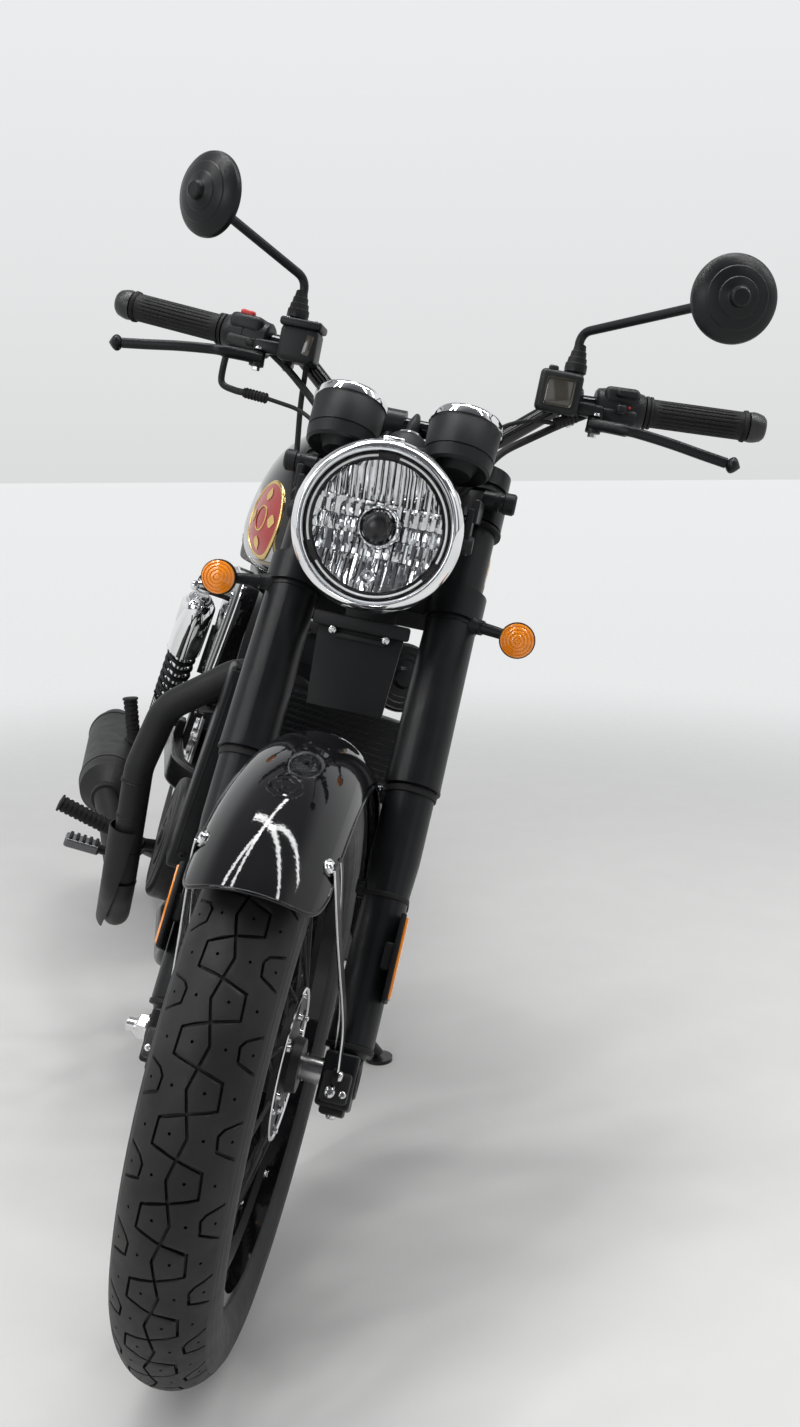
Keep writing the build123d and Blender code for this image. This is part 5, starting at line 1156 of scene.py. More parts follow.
window_dark = finish("reservoir_window", (0.05, 0.045, 0.035), 0.12, coat=0.6, grain=0)
windows.piece("reservoir_window", "steering", window_dark, "black_plastic")
sleeves.piece("cable_adjusters", "steering", rubber_black, "black_rubber", sharp=40)

# ---------------------------------------------------------------------- mirrors
# Round black heads on thin black stalks, each standing in a stepped rubber boot on its lever clamp. The
# glass faces the rider; the shell's back is turned with two shallow steps and has the stalk's ball
# joint in a raised cup.
mirror_shells, stalks, mirror_glass = Shape(), Shape(), Shape()
for side, centre, facing in ((1, Vector((0.327, 0.210, 1.200)), Vector((-0.18, 0.98, 0.06))),
        (-1, Vector((-0.281, 0.239, 1.212)), Vector((0.52, 0.85, 0.08)))):
    facing = facing.normalized()
    foot = Vector((side * 0.173, 0.336, 1.1123))
    joint = centre - facing * 0.018
    boots.lathe(foot - Z * 0.002, Z, [(0, 0.0125), (0.001, 0.0135), (0.0075, 0.0132), (0.0085, 0.0118),
        (0.0145, 0.0112), (0.0155, 0.0098), (0.0220, 0.0092), (0.0230, 0.0080), (0.0300, 0.0070),
        (0.0310, 0.0054)], 32)
    bend = Vector((side * 0.171, 0.335, 1.155))
    lead = (joint - bend).normalized()
    turn_in = [foot + Z * 0.008, bend - Z * 0.014]
    turn_in += [(bend - Z * 0.014) * (1 - t) ** 2 + bend * 2 * t * (1 - t) + (bend + lead * 0.014)
        * t ** 2 for t in (i / 8 for i in range(1, 9))]
    stalks.tube(turn_in + [joint], 0.0055, 18)
    stalks.lathe(joint - lead * 0.012, lead, [(0, 0.0056), (0.001, 0.0075), (0.009, 0.0082),
        (0.012, 0.0068)], 24)
    mirror_shells.lathe(centre, facing, [(-0.0240, 0.0), (-0.0240, 0.0085), (-0.0225, 0.0105),
        (-0.0165, 0.0115), (-0.0150, 0.0140), (-0.0140, 0.0210), (-0.0135, 0.0218), (-0.0125, 0.0225),
        (-0.0100, 0.0330), (-0.0095, 0.0338), (-0.0085, 0.0345), (-0.0045, 0.0430), (0.0000, 0.0472),
        (0.0040, 0.0483), (0.0065, 0.0480), (0.0072, 0.0465), (0.0058, 0.0455)], 72)
    mirror_glass.lathe(centre, facing, [(0.0055, 0.0458), (0.0060, 0.0452), (0.0062, 0.0)], 64)
mirror_shells = mirror_shells.piece("mirror_shells", "steering", satin_black, "satin_black", sharp=25)
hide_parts("mirrors")
stalks.piece("mirror_stalks", "steering", satin_black, "satin_black", sharp=40)
boots.piece("mirror_boots", "steering", rubber_black, "black_rubber", sharp=30)
silver_glass = finish("mirror_silver", (0.78, 0.80, 0.82), 0.02, metal=1.0, mottle=0.01, grain=0)
mirror_glass.piece("mirror_glasses", "steering", silver_glass, "lamp_glass")

# ---------------------------------------------------------------------- headlamp brackets
# Pressed black steel ears on the upper fork covers hold the lamp's shell. A knurled rubber knob ends
# each ear's damper bolt, and pressed bands go round each cover.
knobs = Shape()
for side in (1, -1):
    foot = Vector((side * 0.100, 0.262, 0.936))
    knobs.lathe(foot, X * side, [(0, 0.0075), (0.012, 0.0075), (0.013, 0.0108), (0.020, 0.0122),
        (0.022, 0.0100), (0.0245, 0.0100), (0.0260, 0.0128), (0.0370, 0.0128), (0.0395, 0.0105),
        (0.0395, 0.0)], 32)
    knobs.lathe((side * 0.0865, 0.165, 0.880), X * side, [(0, 0.013), (0.006, 0.0125), (0.0155, 0.0105),
        (0.0185, 0.009), (0.0185, 0)], 28)
    for at in (0.645, 0.690):
        knobs.lathe(fork_point(side, at), UP_FORK, [(-0.0022, 0.0290), (-0.0016, 0.0332),
            (0.0016, 0.0332), (0.0022, 0.0290)], 40)
knobs.piece("lamp_bracket_knobs", "steering", moulded_black, "black_plastic")

# ---------------------------------------------------------------------- radiator
# A black finned metal core between two slim plastic side covers. It is bolted to the frame's down tube
# behind the front wheel.
fins, side_strips = Shape(), Shape()
for row in range(26):
    z = 0.436 + 0.0082 * row
    fins.box((0, 0.3392, z), (0.222, 0.0016, 0.0030), 0.0006, 1)
    for column in range(14):
        x = -0.104 + 0.016 * column
        fins.plate([(x - 0.0062, z + 0.0018), (x, z + 0.0064), (x + 0.0062, z + 0.0018),
            (x + 0.0050, z + 0.0018), (x, z + 0.0054), (x - 0.0050, z + 0.0018)], 0.0012,
            origin=(0, 0.3396, 0))
fins.piece("radiator_fins", "frame", satin_black, "satin_black", sharp=30)
for side in (1, -1):
    side_strips.box((side * 0.1263, 0.3375, 0.520), (0.025, 0.006, 0.262), 0.0028, 3)
    side_strips.box((side * 0.1315, 0.3360, 0.520), (0.004, 0.004, 0.230), 0.0018, 2)
    for z in (0.405, 0.635):
        button_screw(side_strips, Vector((side * 0.1235, 0.3348, z)), -Y, 0.0045)
side_strips.piece("radiator_side_strips", "frame", moulded_black, "black_plastic", sharp=30)

# ---------------------------------------------------------------------- horn
# A round black disc horn of pressed steel hangs above the radiator's left corner, on a flat steel strap
# from the down tube.
horn, horn_strap = Shape(), Shape()
HORN = Vector((0.080, 0.392, 0.702))
horn.lathe(HORN, (0.10, -1, 0.16), [(-0.034, 0.0), (-0.034, 0.017), (-0.016, 0.019), (-0.014, 0.036),
    (-0.010, 0.0440), (-0.002, 0.0460), (0.003, 0.0450), (0.0045, 0.0425), (0.0030, 0.0400),
    (0.0042, 0.0340), (0.0028, 0.0320), (0.0042, 0.0260), (0.0028, 0.0240), (0.0046, 0.0150),
    (0.0085, 0.0110), (0.0095, 0.0)], 56)
horn.box(HORN + Vector((0.006, 0.032, -0.014)), (0.016, 0.012, 0.010), 0.002)
horn_strap.sweep(smooth_route([HORN + Vector((0, 0.034, 0)), HORN + Vector((-0.024, 0.040, -0.022)),
    (0.032, 0.4080, 0.648), (0.006, 0.3960, 0.636)]), lambda t: [(-0.009, -0.0013), (0.009, -0.0013),
    (0.009, 0.0013), (-0.009, 0.0013)])
horn.piece("horn", "frame", satin_black, "satin_black", sharp=30)
horn_strap.piece("horn_strap", "frame", frame_black, "frame_paint", sharp=30)

# ---------------------------------------------------------------------- fuel tank
# A pressed steel teardrop tank: gloss black over the top and along the lower edge, silver on the flanks
# with a thin black and gold line round the panel. A plain oval badge in red and gold with a raised rim
# sits on each flank.

def tank_paint():
    """Black enamel with a silver panel on each flank, drawn in the tank's own sizes."""
    made = finish("tank_enamel", (0.004, 0.004, 0.0048), 0.06, coat=0.3, grain=0.04, grain_size=0.004)
    tree = made.node_tree
    start = Shade(tree)
    place = start.node("ShaderNodeTexCoord", out=3)
    along, height = place.part(1), place.part(2)
    top = 0.885 - (along - 0.60) * (along - 0.60) * 1.6
    low = 0.775 + (along - 0.55) * (along - 0.55) * 0.6
    inside = start.maths("MINIMUM", start.maths("MINIMUM", top - height, height - low),
        start.maths("MINIMUM", along - 0.425, 0.800 - along))
    silver = inside.step(0.0034, 0.0040)
    line = inside.step(-0.0004, 0.0002) * inside.step(0.0030, 0.0024)
    flake = start.noise(place, 900.0, 2.0)
    metal_colour = flake.mix((0.44, 0.45, 0.46), (0.56, 0.57, 0.58))
    black = start.noise(place, 7.0, 2.0).mix((0.0045, 0.0045, 0.0055), (0.007, 0.007, 0.008))
    painted = silver.mix(line.mix(black, (0.30, 0.20, 0.06)), metal_colour)
    shader = tree.nodes["Principled BSDF"].inputs
    tree.links.new(painted.socket, shader["Base Color"])
    tree.links.new((silver * 0.4).socket, shader["Metallic"])
    tree.links.new((silver * 0.22 + 0.08 + start.noise(place, 42.0, 3.0) * 0.04).socket,
        shader["Roughness"])
    return made


tank_mesh = NODES["fuel_tank"].data.copy()
tank_mesh.transform(PLACE["frame"].inverted() @ NODES["fuel_tank"].matrix_world)
tank_mesh.materials.clear()
tank_mesh.materials.append(tank_paint())
tank = bpy.data.objects.new("tank_shell", tank_mesh)
scene.collection.objects.link(tank)
tank.matrix_world = PLACE["frame"]
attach(tank, "frame")
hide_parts("fuel_tank")
bpy.context.view_layer.update()
tank_skin = BVHTree.FromObject(tank, bpy.context.evaluated_depsgraph_get())
badge_fields, badge_rims, badge_inlays = Shape(), Shape(), Shape()
for side in (1, -1):
    centre, facing, _, _ = tank_skin.ray_cast(Vector((side * 0.40, 0.456, 0.836)), X * -side)
    wide = facing.cross(Z).normalized()
    tall = wide.cross(facing).normalized()
    if tall.z < 0:
        tall = -tall

    def on_tank(u, v, lift):
        """The point of the tank's side that far along and up from the badge's middle."""
        hit = tank_skin.ray_cast(centre + wide * u + tall * v + facing * 0.08, -facing)[0]
        return (hit or centre + wide * u + tall * v) + facing * lift

    def oval(scale, lift):
        return [on_tank(0.040 * scale * math.cos(a), 0.053 * scale * math.sin(a), lift)
            for a in (math.tau * i / 64 for i in range(64))]

    badge_rims.skin([oval(1.0, -0.001), oval(1.0, 0.0016), oval(0.975, 0.0028), oval(0.93, 0.0028),
        oval(0.90, 0.0016), oval(0.90, -0.001)], capped=False)
    badge_fields.skin([oval(0.92, -0.001), oval(0.92, 0.0017), oval(0.70, 0.0020),
        oval(0.45, 0.0022), oval(0.20, 0.0023), oval(0.02, 0.0024)])
    for turn_deg in (0, 90, 180, 270):
        petal = [(0.44 + 0.36 * (t / 24), 0.20 * math.sin(math.pi * t / 24) * (1 - 0.35 * t / 24))
            for t in range(25)]
        cos, sin = math.cos(math.radians(turn_deg)), math.sin(math.radians(turn_deg))
        outline_in, outline_out = ([on_tank(0.040 * (r * cos - h * hand * sin),
            0.053 * (r * sin + h * hand * cos), 0.0024) for r, h in petal] for hand in (1, -1))
        for i in range(24):
            quad = [outline_in[i], outline_in[i + 1], outline_out[i + 1], outline_out[i]]
            if (quad[0] - quad[3]).length < 1e-6:
                quad = quad[:3]
            elif (quad[1] - quad[2]).length < 1e-6:
                quad = [quad[0], quad[1], quad[3]]
            badge_inlays.mesh.faces.new([badge_inlays.mesh.verts.new(point + facing * 0.0004)
                for point in quad])
    badge_inlays.skin([oval(0.33, 0.0022), oval(0.33, 0.0030), oval(0.29, 0.0034),
        oval(0.29, 0.0026)], capped=False)
badge_red = finish("badge_red", (0.34, 0.018, 0.014), 0.22, coat=0.8, grain=0)
badge_gold = finish("badge_gold", (0.72, 0.50, 0.20), 0.25, metal=1.0, mottle=0.06, grain=0)
badge_fields.piece("tank_badge_fields", "frame", badge_red, "tank_paint", sharp=30)
badge_rims.piece("tank_badge_rims", "frame", badge_gold, "bright_chrome", sharp=40)
badge_inlays.piece("tank_badge_inlays", "frame", badge_gold, "bright_chrome", sharp=40)

# The flush filler cap: a chrome lid with a knurled edge, a hinge block and a keyhole under a small
# shutter.
cap = Shape()
cap.lathe((0, 0.560, 1.0026), Z, [(0, 0.030), (0, 0.0338), (0.0018, 0.0340), (0.0060, 0.0336),
    (0.0085, 0.0310), (0.0095, 0.0290), (0.0088, 0.0275), (0.0088, 0.0)], 72)
cap.box((0, 0.5915, 1.0075), (0.014, 0.010, 0.008), 0.002)
cap.lathe((0, 0.552, 1.0112), Z, [(0, 0.0088), (0.0016, 0.0084), (0.0024, 0.0072), (0.0024, 0.0)], 32)
for k in range(36):
    a = math.tau * k / 36
    cap.box((0.0341 * math.cos(a), 0.560 + 0.0341 * math.sin(a), 1.0062), (0.0012, 0.0022, 0.0050),
        0.0004, 1, turn=Matrix.Rotation(a, 3, "Z"))
cap = cap.piece("filler_cap", "frame", chrome, "bright_chrome", sharp=30)
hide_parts("fuel_cap")

# ---------------------------------------------------------------------- seat
# Foam under leather: a wide rider's part, a step, and a narrower passenger's part. The top panel is
# stitched to side bands with a raised piping; seams run across the rider's part, and a strap crosses at
# the step.
SEAT_SECTIONS = [(0.842, 0.080, 0.768, 0.862), (0.930, 0.128, 0.740, 0.806), (1.060, 0.140, 0.738,
    0.800), (1.210, 0.132, 0.748, 0.828), (1.450, 0.096, 0.784, 0.834)]


def seat_station(y):
    """Half width, foot and crown of the seat at that station, smooth between its sections."""
    before = SEAT_SECTIONS[0]
    for section in SEAT_SECTIONS:
        if section[0] >= y:
            after = section
            break
        before = section
    else:
        after = SEAT_SECTIONS[-1]
    if after[0] == before[0]:
        return after[1:]
    t = (y - before[0]) / (after[0] - before[0])
    t = t * t * (3 - 2 * t)
    return tuple(a + (b - a) * t for a, b in zip(before[1:], after[1:]))


def swell(made, cap):
    """Remeshes a closed cover, swells it as cloth under pressure by no more than cap, and applies it."""
    scene.frame_set(1)
    remesh = made.modifiers.new("even_faces", "REMESH")
    remesh.mode = "VOXEL"
    remesh.voxel_size = 0.006
    even = bpy.data.meshes.new_from_object(made.evaluated_get(bpy.context.evaluated_depsgraph_get()))
    made.modifiers.clear()
    made.data = even
    before = [vert.co.copy() for vert in even.vertices]
    held = made.vertex_groups.new(name="base_edge")
    held.add([vert.index for vert in even.vertices if vert.co.z < seat_station(vert.co.y)[1] + 0.010],
        1.0, "REPLACE")
    cover = made.modifiers.new("cover", "CLOTH")
    cover.settings.vertex_group_mass = "base_edge"
    cover.settings.use_pressure = True
    cover.settings.uniform_pressure_force = 4
    cover.settings.effector_weights.gravity = 0
    for at in range(1, 15):
        scene.frame_set(at)
    swollen = bpy.data.meshes.new_from_object(made.evaluated_get(bpy.context.evaluated_depsgraph_get()))
    made.modifiers.clear()
    for vert, old in zip(swollen.vertices, before):
        moved = vert.co - old
        if moved.length > cap:
            vert.co = old + moved.normalized() * cap
    made.data = swollen
    made.vertex_groups.clear()
    scene.frame_set(1)
    swollen.polygons.foreach_set("use_smooth", [True] * len(swollen.polygons))
    smoother = made.modifiers.new("smooth", "SUBSURF")
    smoother.levels = smoother.render_levels = 1


cushion = Shape()
cushion_rings = []
for k in range(49):
    y = 0.846 + (1.446 - 0.846) * k / 48
    w, low, high = seat_station(y)
    ends = min(1.0, math.sqrt(max(0.0, 1 - max(0.0, 1 - (k + 0.6) / 3.2) ** 2)),
        math.sqrt(max(0.0, 1 - max(0.0, 1 - (48.6 - k) / 3.6) ** 2)))
    w, high = w * (0.90 + 0.10 * ends) - 0.005, low + (high - low) * (0.72 + 0.28 * ends) - 0.005
    step_up = 0.010 * math.exp(-((y - 1.185) / 0.030) ** 2)
    waist = low + (high - low) * 0.30
    ring = [Vector((0.90 * w * (1 - 2 * i / 12), y, low + 0.002)) for i in range(1, 12)]
    ring += [Vector((-0.955 * w, y, low + (waist - low) * 0.4)), Vector((-w, y, waist))]
    for i in range(1, 32):
        a = math.pi * (1 - i / 32)
        ring.append(Vector((w * math.copysign(abs(math.cos(a)) ** 0.42, math.cos(a)), y,
            waist + (high + step_up * 0.4 - waist) * math.sin(a) ** 0.52)))
    ring += [Vector((w, y, waist)), Vector((0.955 * w, y, low + (waist - low) * 0.4))]
    cushion_rings.append(ring)
cushion.skin(cushion_rings)
seat_leather = finish("seat_cover_leather", (0.017, 0.0145, 0.013), 0.46, mottle=0.2,
    grain=0.8, grain_size=0.0013, cloud=16)
cushion = cushion.piece("seat_cushion", "frame", seat_leather, "seat_cover", sharp=80)
swell(cushion, 0.006)
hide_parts("seat")

cushion_skin = BVHTree.FromObject(cushion, bpy.context.evaluated_depsgraph_get())


def on_cushion(y, degrees, lift=0.0004):
    """The point of the cover seen from its middle line at that angle from the left, over the top."""
    w, low, high = seat_station(y)
    middle = Vector((0, y, low + (high - low) * 0.30))
    way = Vector((math.cos(math.radians(degrees)), 0, math.sin(math.radians(degrees))))
    hit = cushion_skin.ray_cast(middle, way)[0]
    return hit + way * lift if hit else middle + way * w


piping, stitches, strap = Shape(), Shape(), Shape()
for degrees in (24, 156):
    piping.tube([on_cushion(0.862 + 0.570 * i / 70, degrees) for i in range(71)], 0.0026, 10)
for y in (0.905, 0.965, 1.025, 1.085, 1.145, 1.245, 1.305, 1.365):
    for shift in (-0.003, 0.003):
        points = [on_cushion(y + shift, 27 + 126 * i / 60, 0.0001) for i in range(61)]
        for i in range(0, 60, 2):
            stitches.tube([points[i], points[i + 1]], 0.0006, 6)
for y in (1.182, 1.206):
    strap.tube([on_cushion(y, 2 + 176 * i / 70, 0.0012) for i in range(71)], 0.0016, 8)
strap_rings = [[on_cushion(y, 2 + 176 * i / 70, lift) for y, lift in ((1.182, 0.0002), (1.182, 0.0028),
    (1.206, 0.0028), (1.206, 0.0002))] for i in range(71)]
strap.skin(strap_rings)
piping.piece("seat_piping", "frame", seat_leather, "seat_cover")
thread = finish("seat_thread", (0.05, 0.048, 0.046), 0.6, grain=0)
stitches.piece("seat_stitches", "frame", thread, "seat_cover")
strap.piece("seat_strap", "frame", seat_leather, "seat_cover", sharp=60)

# ---------------------------------------------------------------------- side covers
# Gloss-black plastic covers close the space under the seat. Each has a raised field, a thin bright edge
# along its front and a knurled thumb screw.
COVER_OUTLINE = [(0.800, 0.700), (0.850, 0.724), (1.000, 0.726), (1.090, 0.720), (1.078, 0.640),
    (0.990, 0.525), (0.900, 0.484), (0.850, 0.560)]


def closed_curve(points):
    """A smooth closed outline through the points."""
    count = len(points)
    points = [Vector(point) for point in points]
    line = []
    for k in range(count):
        a, b, c, d = (points[(k + j) % count] for j in (-1, 0, 1, 2))
        line += [curve_point(a, b, c, d, i / 8) for i in range(8)]
    return line


cover_shells, cover_edges, cover_screws = Shape(), Shape(), Shape()
cover_line = closed_curve(COVER_OUTLINE)
cover_middle = sum(cover_line, Vector((0, 0))) / len(cover_line)
for side in (1, -1):
    rings = []
    for x, share in ((0.0975, 0.985), (0.1180, 1.0), (0.1262, 0.990), (0.1296, 0.965), (0.1306, 0.930),
            (0.1306, 0.800), (0.1312, 0.785), (0.1328, 0.765), (0.1332, 0.740), (0.1332, 0.30),
            (0.1332, 0.02)):
        rings.append([Vector((side * x, *(cover_middle + (point - cover_middle) * share)))
            for point in cover_line])
    cover_shells.skin(rings)
    cover_edges.tube([Vector((side * 0.1245, *point)) for point in cover_line + cover_line[:1]], 0.0018,
        8)
    cover_screws.lathe((side * 0.1325, 0.965, 0.690), X * side, [(0, 0.0095), (0.0005, 0.0100),
        (0.0060, 0.0100), (0.0075, 0.0088), (0.0075, 0.0)], 24)
cover_shells = cover_shells.piece("side_cover_shells", "frame", gloss_black, "gloss_black", sharp=35)
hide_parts("side_covers")
cover_edges.piece("side_cover_edges", "frame", chrome, "bright_chrome")
cover_screws.piece("side_cover_screws", "frame", bright_steel, "steel", sharp=30)

# ---------------------------------------------------------------------- engine
# A black single: cast cases split down the middle, a finned barrel tilted 9 degrees forward, a square
# head and two round side covers, each held by a ring of flange bolts in bosses. The covers carry no
# text.
TILT = math.radians(9)
BARREL_UP = Vector((0, -math.sin(TILT), math.cos(TILT)))
BARREL_BACK = round_way(TILT)
BARREL_TURN = Matrix((X, BARREL_BACK, BARREL_UP)).transposed()
bosses, engine_bolts, case_trim = Shape(), Shape(), Shape()


def flange_bolt(shape, foot, way, size):
    """A hexagon head on a round flange."""
    shape.lathe(foot, way, [(0, size * 1.5), (size * 0.2, size * 1.5), (size * 0.35, size * 1.2)], 20)
    shape.lathe(foot + Vector(way).normalized() * size * 0.3, way, [(0, size), (size * 0.85, size),
        (size, size * 0.8), (size, 0)], 6)


def in_barrel(x, y, z):
    """A point in the barrel's own frame."""
    return Vector((x, 0.552, 0.424)) + BARREL_BACK * y + BARREL_UP * z


for side, y, z, radius, face in ((-1, 0.630, 0.340, 0.092, 0.132), (1, 0.560, 0.335, 0.084, 0.118)):
    for i in range(9):
        a = math.tau * (i + 0.3) / 9
        at = Vector((side * 0.0685, y + (radius + 0.001) * math.cos(a), z + (radius + 0.001)
            * math.sin(a)))
        if side > 0 and at.y > 0.650:
            continue
        bosses.lathe(at, X * side, [(0, 0.0085), (0.016, 0.0080), (0.018, 0.0068), (0.018, 0.0)], 18)
        flange_bolt(engine_bolts, at + X * side * 0.018, X * side, 0.0036)
    case_trim.lathe((side * (face - 0.0006), y, z), X * side, [(0, radius - 0.012),
        (0.0018, radius - 0.0135), (0.0018, radius - 0.020), (0.0004, radius - 0.022),
        (0.0004, radius * 0.50), (0.0030, radius * 0.485), (0.0030, radius * 0.30),
        (0.0012, radius * 0.285), (0.0012, 0.0)], 64)
    bosses.lathe((side * (face + 0.0020), y, z), X * side, [(0, 0.017), (0.003, 0.0165),
        (0.0036, 0.015), (0.0036, 0.0)], 36)
    engine_bolts.box((side * (face + 0.0058), y, z), (0.0010, 0.022, 0.0026), 0.0004, 1)
for y, z in ((0.668, 0.392), (0.780, 0.392), (0.668, 0.300), (0.794, 0.300)):
    flange_bolt(engine_bolts, Vector((0.1148, y, z)), X, 0.0038)
case_trim.box((0, 0.6180, 0.2330), (0.0024, 0.268, 0.006), 0.001, 1)
case_trim.box((0, 0.4506, 0.350), (0.0024, 0.006, 0.140), 0.001, 1)
for x in (-0.052, 0.052):
    for y in (-0.052, 0.044):
        flange_bolt(engine_bolts, in_barrel(x, y, 0.2275), BARREL_UP, 0.0048)
    for z in (0.126, 0.150, 0.174):
        flange_bolt(engine_bolts, in_barrel(x, -0.0765, z), -BARREL_BACK, 0.0036)
for z in (0.121, 0.129, 0.137, 0.145, 0.153, 0.161, 0.169, 0.177):
    for side in (1, -1):
        case_trim.box(in_barrel(side * 0.0730, 0.0, z), (0.006, 0.138, 0.0030), 0.0010, 1,
            turn=BARREL_TURN)
    case_trim.box(in_barrel(0.0, -0.0790, z), (0.086, 0.004, 0.0030), 0.0010, 1, turn=BARREL_TURN)
spark_cap = Shape()
spark_cap.tube(smooth_route([in_barrel(-0.070, -0.020, 0.160), in_barrel(-0.096, -0.022, 0.166),
    in_barrel(-0.106, -0.010, 0.186), in_barrel(-0.098, 0.020, 0.232), in_barrel(-0.060, 0.052,
    0.262), in_barrel(-0.030, 0.084, 0.268)]), lambda t: 0.0085 if t < 0.24 else 0.0040, 14)
bosses.piece("engine_bolt_bosses", "frame", cast_black, "cast_alloy", sharp=30)
engine_bolts.piece("engine_bolts", "frame", dark_steel, "steel", sharp=30)
case_trim.piece("engine_cover_steps", "frame", cast_black, "engine_black", sharp=30)
spark_cap.piece("spark_plug_lead", "frame", rubber_black, "black_rubber")

# ---------------------------------------------------------------------- exhaust
# One heat-proof black header leaves the head, drops in front of the frame and runs under the right side
# to a cylindrical muffler with a welded band, a stepped end cap and a narrow outlet.
exhaust_bands, exhaust_bolts, outlet = Shape(), Shape(), Shape()
MUFFLER_START, MUFFLER_WAY = Vector((-0.220, 0.940, 0.284)), Vector((-0.014, 0.520, 0.022)).normalized()
for at, half, radius in ((0.014, 0.010, 0.0252), (0.105, 0.004, 0.0512), (0.425, 0.005, 0.0514)):
    exhaust_bands.lathe(MUFFLER_START + MUFFLER_WAY * (at - half), MUFFLER_WAY, [(0, radius - 0.003),
        (0.0006, radius - 0.0004), (half * 0.4, radius), (half * 1.6, radius), (half * 2 - 0.0006,
        radius - 0.0004), (half * 2, radius - 0.003)], 56)
exhaust_bands.box(MUFFLER_START + MUFFLER_WAY * 0.014 + Vector((0, 0, -0.028)), (0.012, 0.018,
    0.014), 0.003)
flange_bolt(exhaust_bolts, MUFFLER_START + MUFFLER_WAY * 0.014 + Vector((-0.006, 0, -0.030)), -X, 0.0042)
exhaust_bands.box(MUFFLER_START + MUFFLER_WAY * 0.250 + Vector((0.030, 0, 0.047)), (0.020, 0.052,
    0.016), 0.004)
flange_bolt(exhaust_bolts, MUFFLER_START + MUFFLER_WAY * 0.250 + Vector((0.019, 0, 0.052)), -X, 0.0046)
outlet.lathe(MUFFLER_START + MUFFLER_WAY * 0.5035, MUFFLER_WAY, [(-0.010, 0.0375), (0.0004, 0.0375),
    (0.0010, 0.0362), (0.0010, 0.0210), (0.0120, 0.0200), (0.0128, 0.0192), (0.0120, 0.0180),
    (0.0016, 0.0178), (0.0016, 0.0)], 56)
exhaust_bands.lathe((-0.034, 0.436, 0.596), (0, 0.62, 1.0), [(0, 0.020), (0, 0.034), (0.006, 0.034),
    (0.008, 0.032), (0.008, 0.020)], 32)
for x in (-0.061, -0.007):
    flange_bolt(exhaust_bolts, Vector((x, 0.436, 0.602)), (0, -1, 0.1), 0.0045)
for step in (0.0, 0.30, 0.62, 0.94):
    at = Vector((-0.1765, 0.4795, 0.303)) * (1 - step) + Vector((-0.2035, 0.4535, 0.459)) * step
    exhaust_bands.lathe(at, (-0.17, -0.165, 0.97), [(0, 0.0190), (0.0008, 0.0203), (0.0022, 0.0203),
        (0.003, 0.0190)], 32)
exhaust_bands.piece("exhaust_bands", "frame", heat_black, "satin_black", sharp=30)
exhaust_bolts.piece("exhaust_bolts", "frame", dark_steel, "steel", sharp=30)
outlet.piece("muffler_outlet", "frame", heat_black, "satin_black", sharp=30)
shield_trim = Shape()
for at in (Vector((-0.2035, 0.474, 0.350)), Vector((-0.1995, 0.4895, 0.292))):
    button_screw(shield_trim, at, -X, 0.0055)
shield_trim.piece("heat_shield_screws", "frame", bright_steel, "steel", sharp=30)

# ---------------------------------------------------------------------- rear shocks
# Twin shock absorbers: a chrome spring cup and damper body at the top, a black coil spring and a cast
# foot with a rubber-bushed eye at each end, held by domed chrome nuts.
springs, shock_cups, shock_nuts, shock_feet = Shape(), Shape(), Shape(), Shape()
for side in (1, -1):
    top, bottom = Vector((side * 0.166, 1.131, 0.665)), Vector((side * 0.158, 1.335, 0.372))
    up = (top - bottom).normalized()
    aside = up.cross(Y).normalized()
    ahead = aside.cross(up)
    coil, turns = [], 9
    for i in range(turns * 24 + 1):
        share = i / (turns * 24)
        pitch = share - 0.028 * math.sin(math.tau * share) / math.tau * 2
        a = math.tau * turns * share
        coil.append(bottom + up * (0.0655 + 0.179 * pitch) + (aside * math.cos(a) + ahead * math.sin(a))
            * 0.0246)
    springs.tube(coil, 0.0043, 10)
    shock_cups.lathe(bottom, up, [(0.0605, 0.0), (0.0605, 0.0120), (0.249, 0.0120), (0.249, 0.0)], 24)
    shock_cups.lathe(bottom, up, [(0.200, 0.0312), (0.200, 0.0318), (0.2495, 0.0322), (0.3130, 0.0320),
        (0.3260, 0.0255), (0.3330, 0.0180), (0.3330, 0.0160)], 48)
    shock_cups.lathe(bottom, up, [(0.2000, 0.0320), (0.2000, 0.0300), (0.2040, 0.0300)], 48)
    for k in range(5):
        shock_feet.lathe(bottom + up * (0.018 + 0.0088 * k), up, [(0, 0.0258), (0.001, 0.0268),
            (0.0040, 0.0268), (0.005, 0.0258)], 36)
    for eye in (top, bottom):
        shock_nuts.lathe(eye + X * side * 0.0125, X * side, [(0, 0.0145), (0.0014, 0.0145),
            (0.0014, 0.0100)], 28)
        shock_nuts.lathe(eye + X * side * 0.0135, X * side, [(0, 0.0105), (0.006, 0.0105),
            (0.0065, 0.0098)], 6)
        shock_nuts.lathe(eye + X * side * 0.0195, X * side, [(0, 0.0088), (0.003, 0.0080),
            (0.0055, 0.0052), (0.0065, 0.0)], 24)
springs = springs.piece("spring_coils", "frame", satin_black, "satin_black", sharp=60)
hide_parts("shock_springs")
shock_cups.piece("shock_spring_cups", "frame", chrome, "bright_chrome", sharp=30)
shock_nuts.piece("shock_nuts", "frame", chrome, "bright_chrome", sharp=30)
shock_feet.piece("shock_foot_ribs", "frame", cast_black, "cast_alloy", sharp=30)

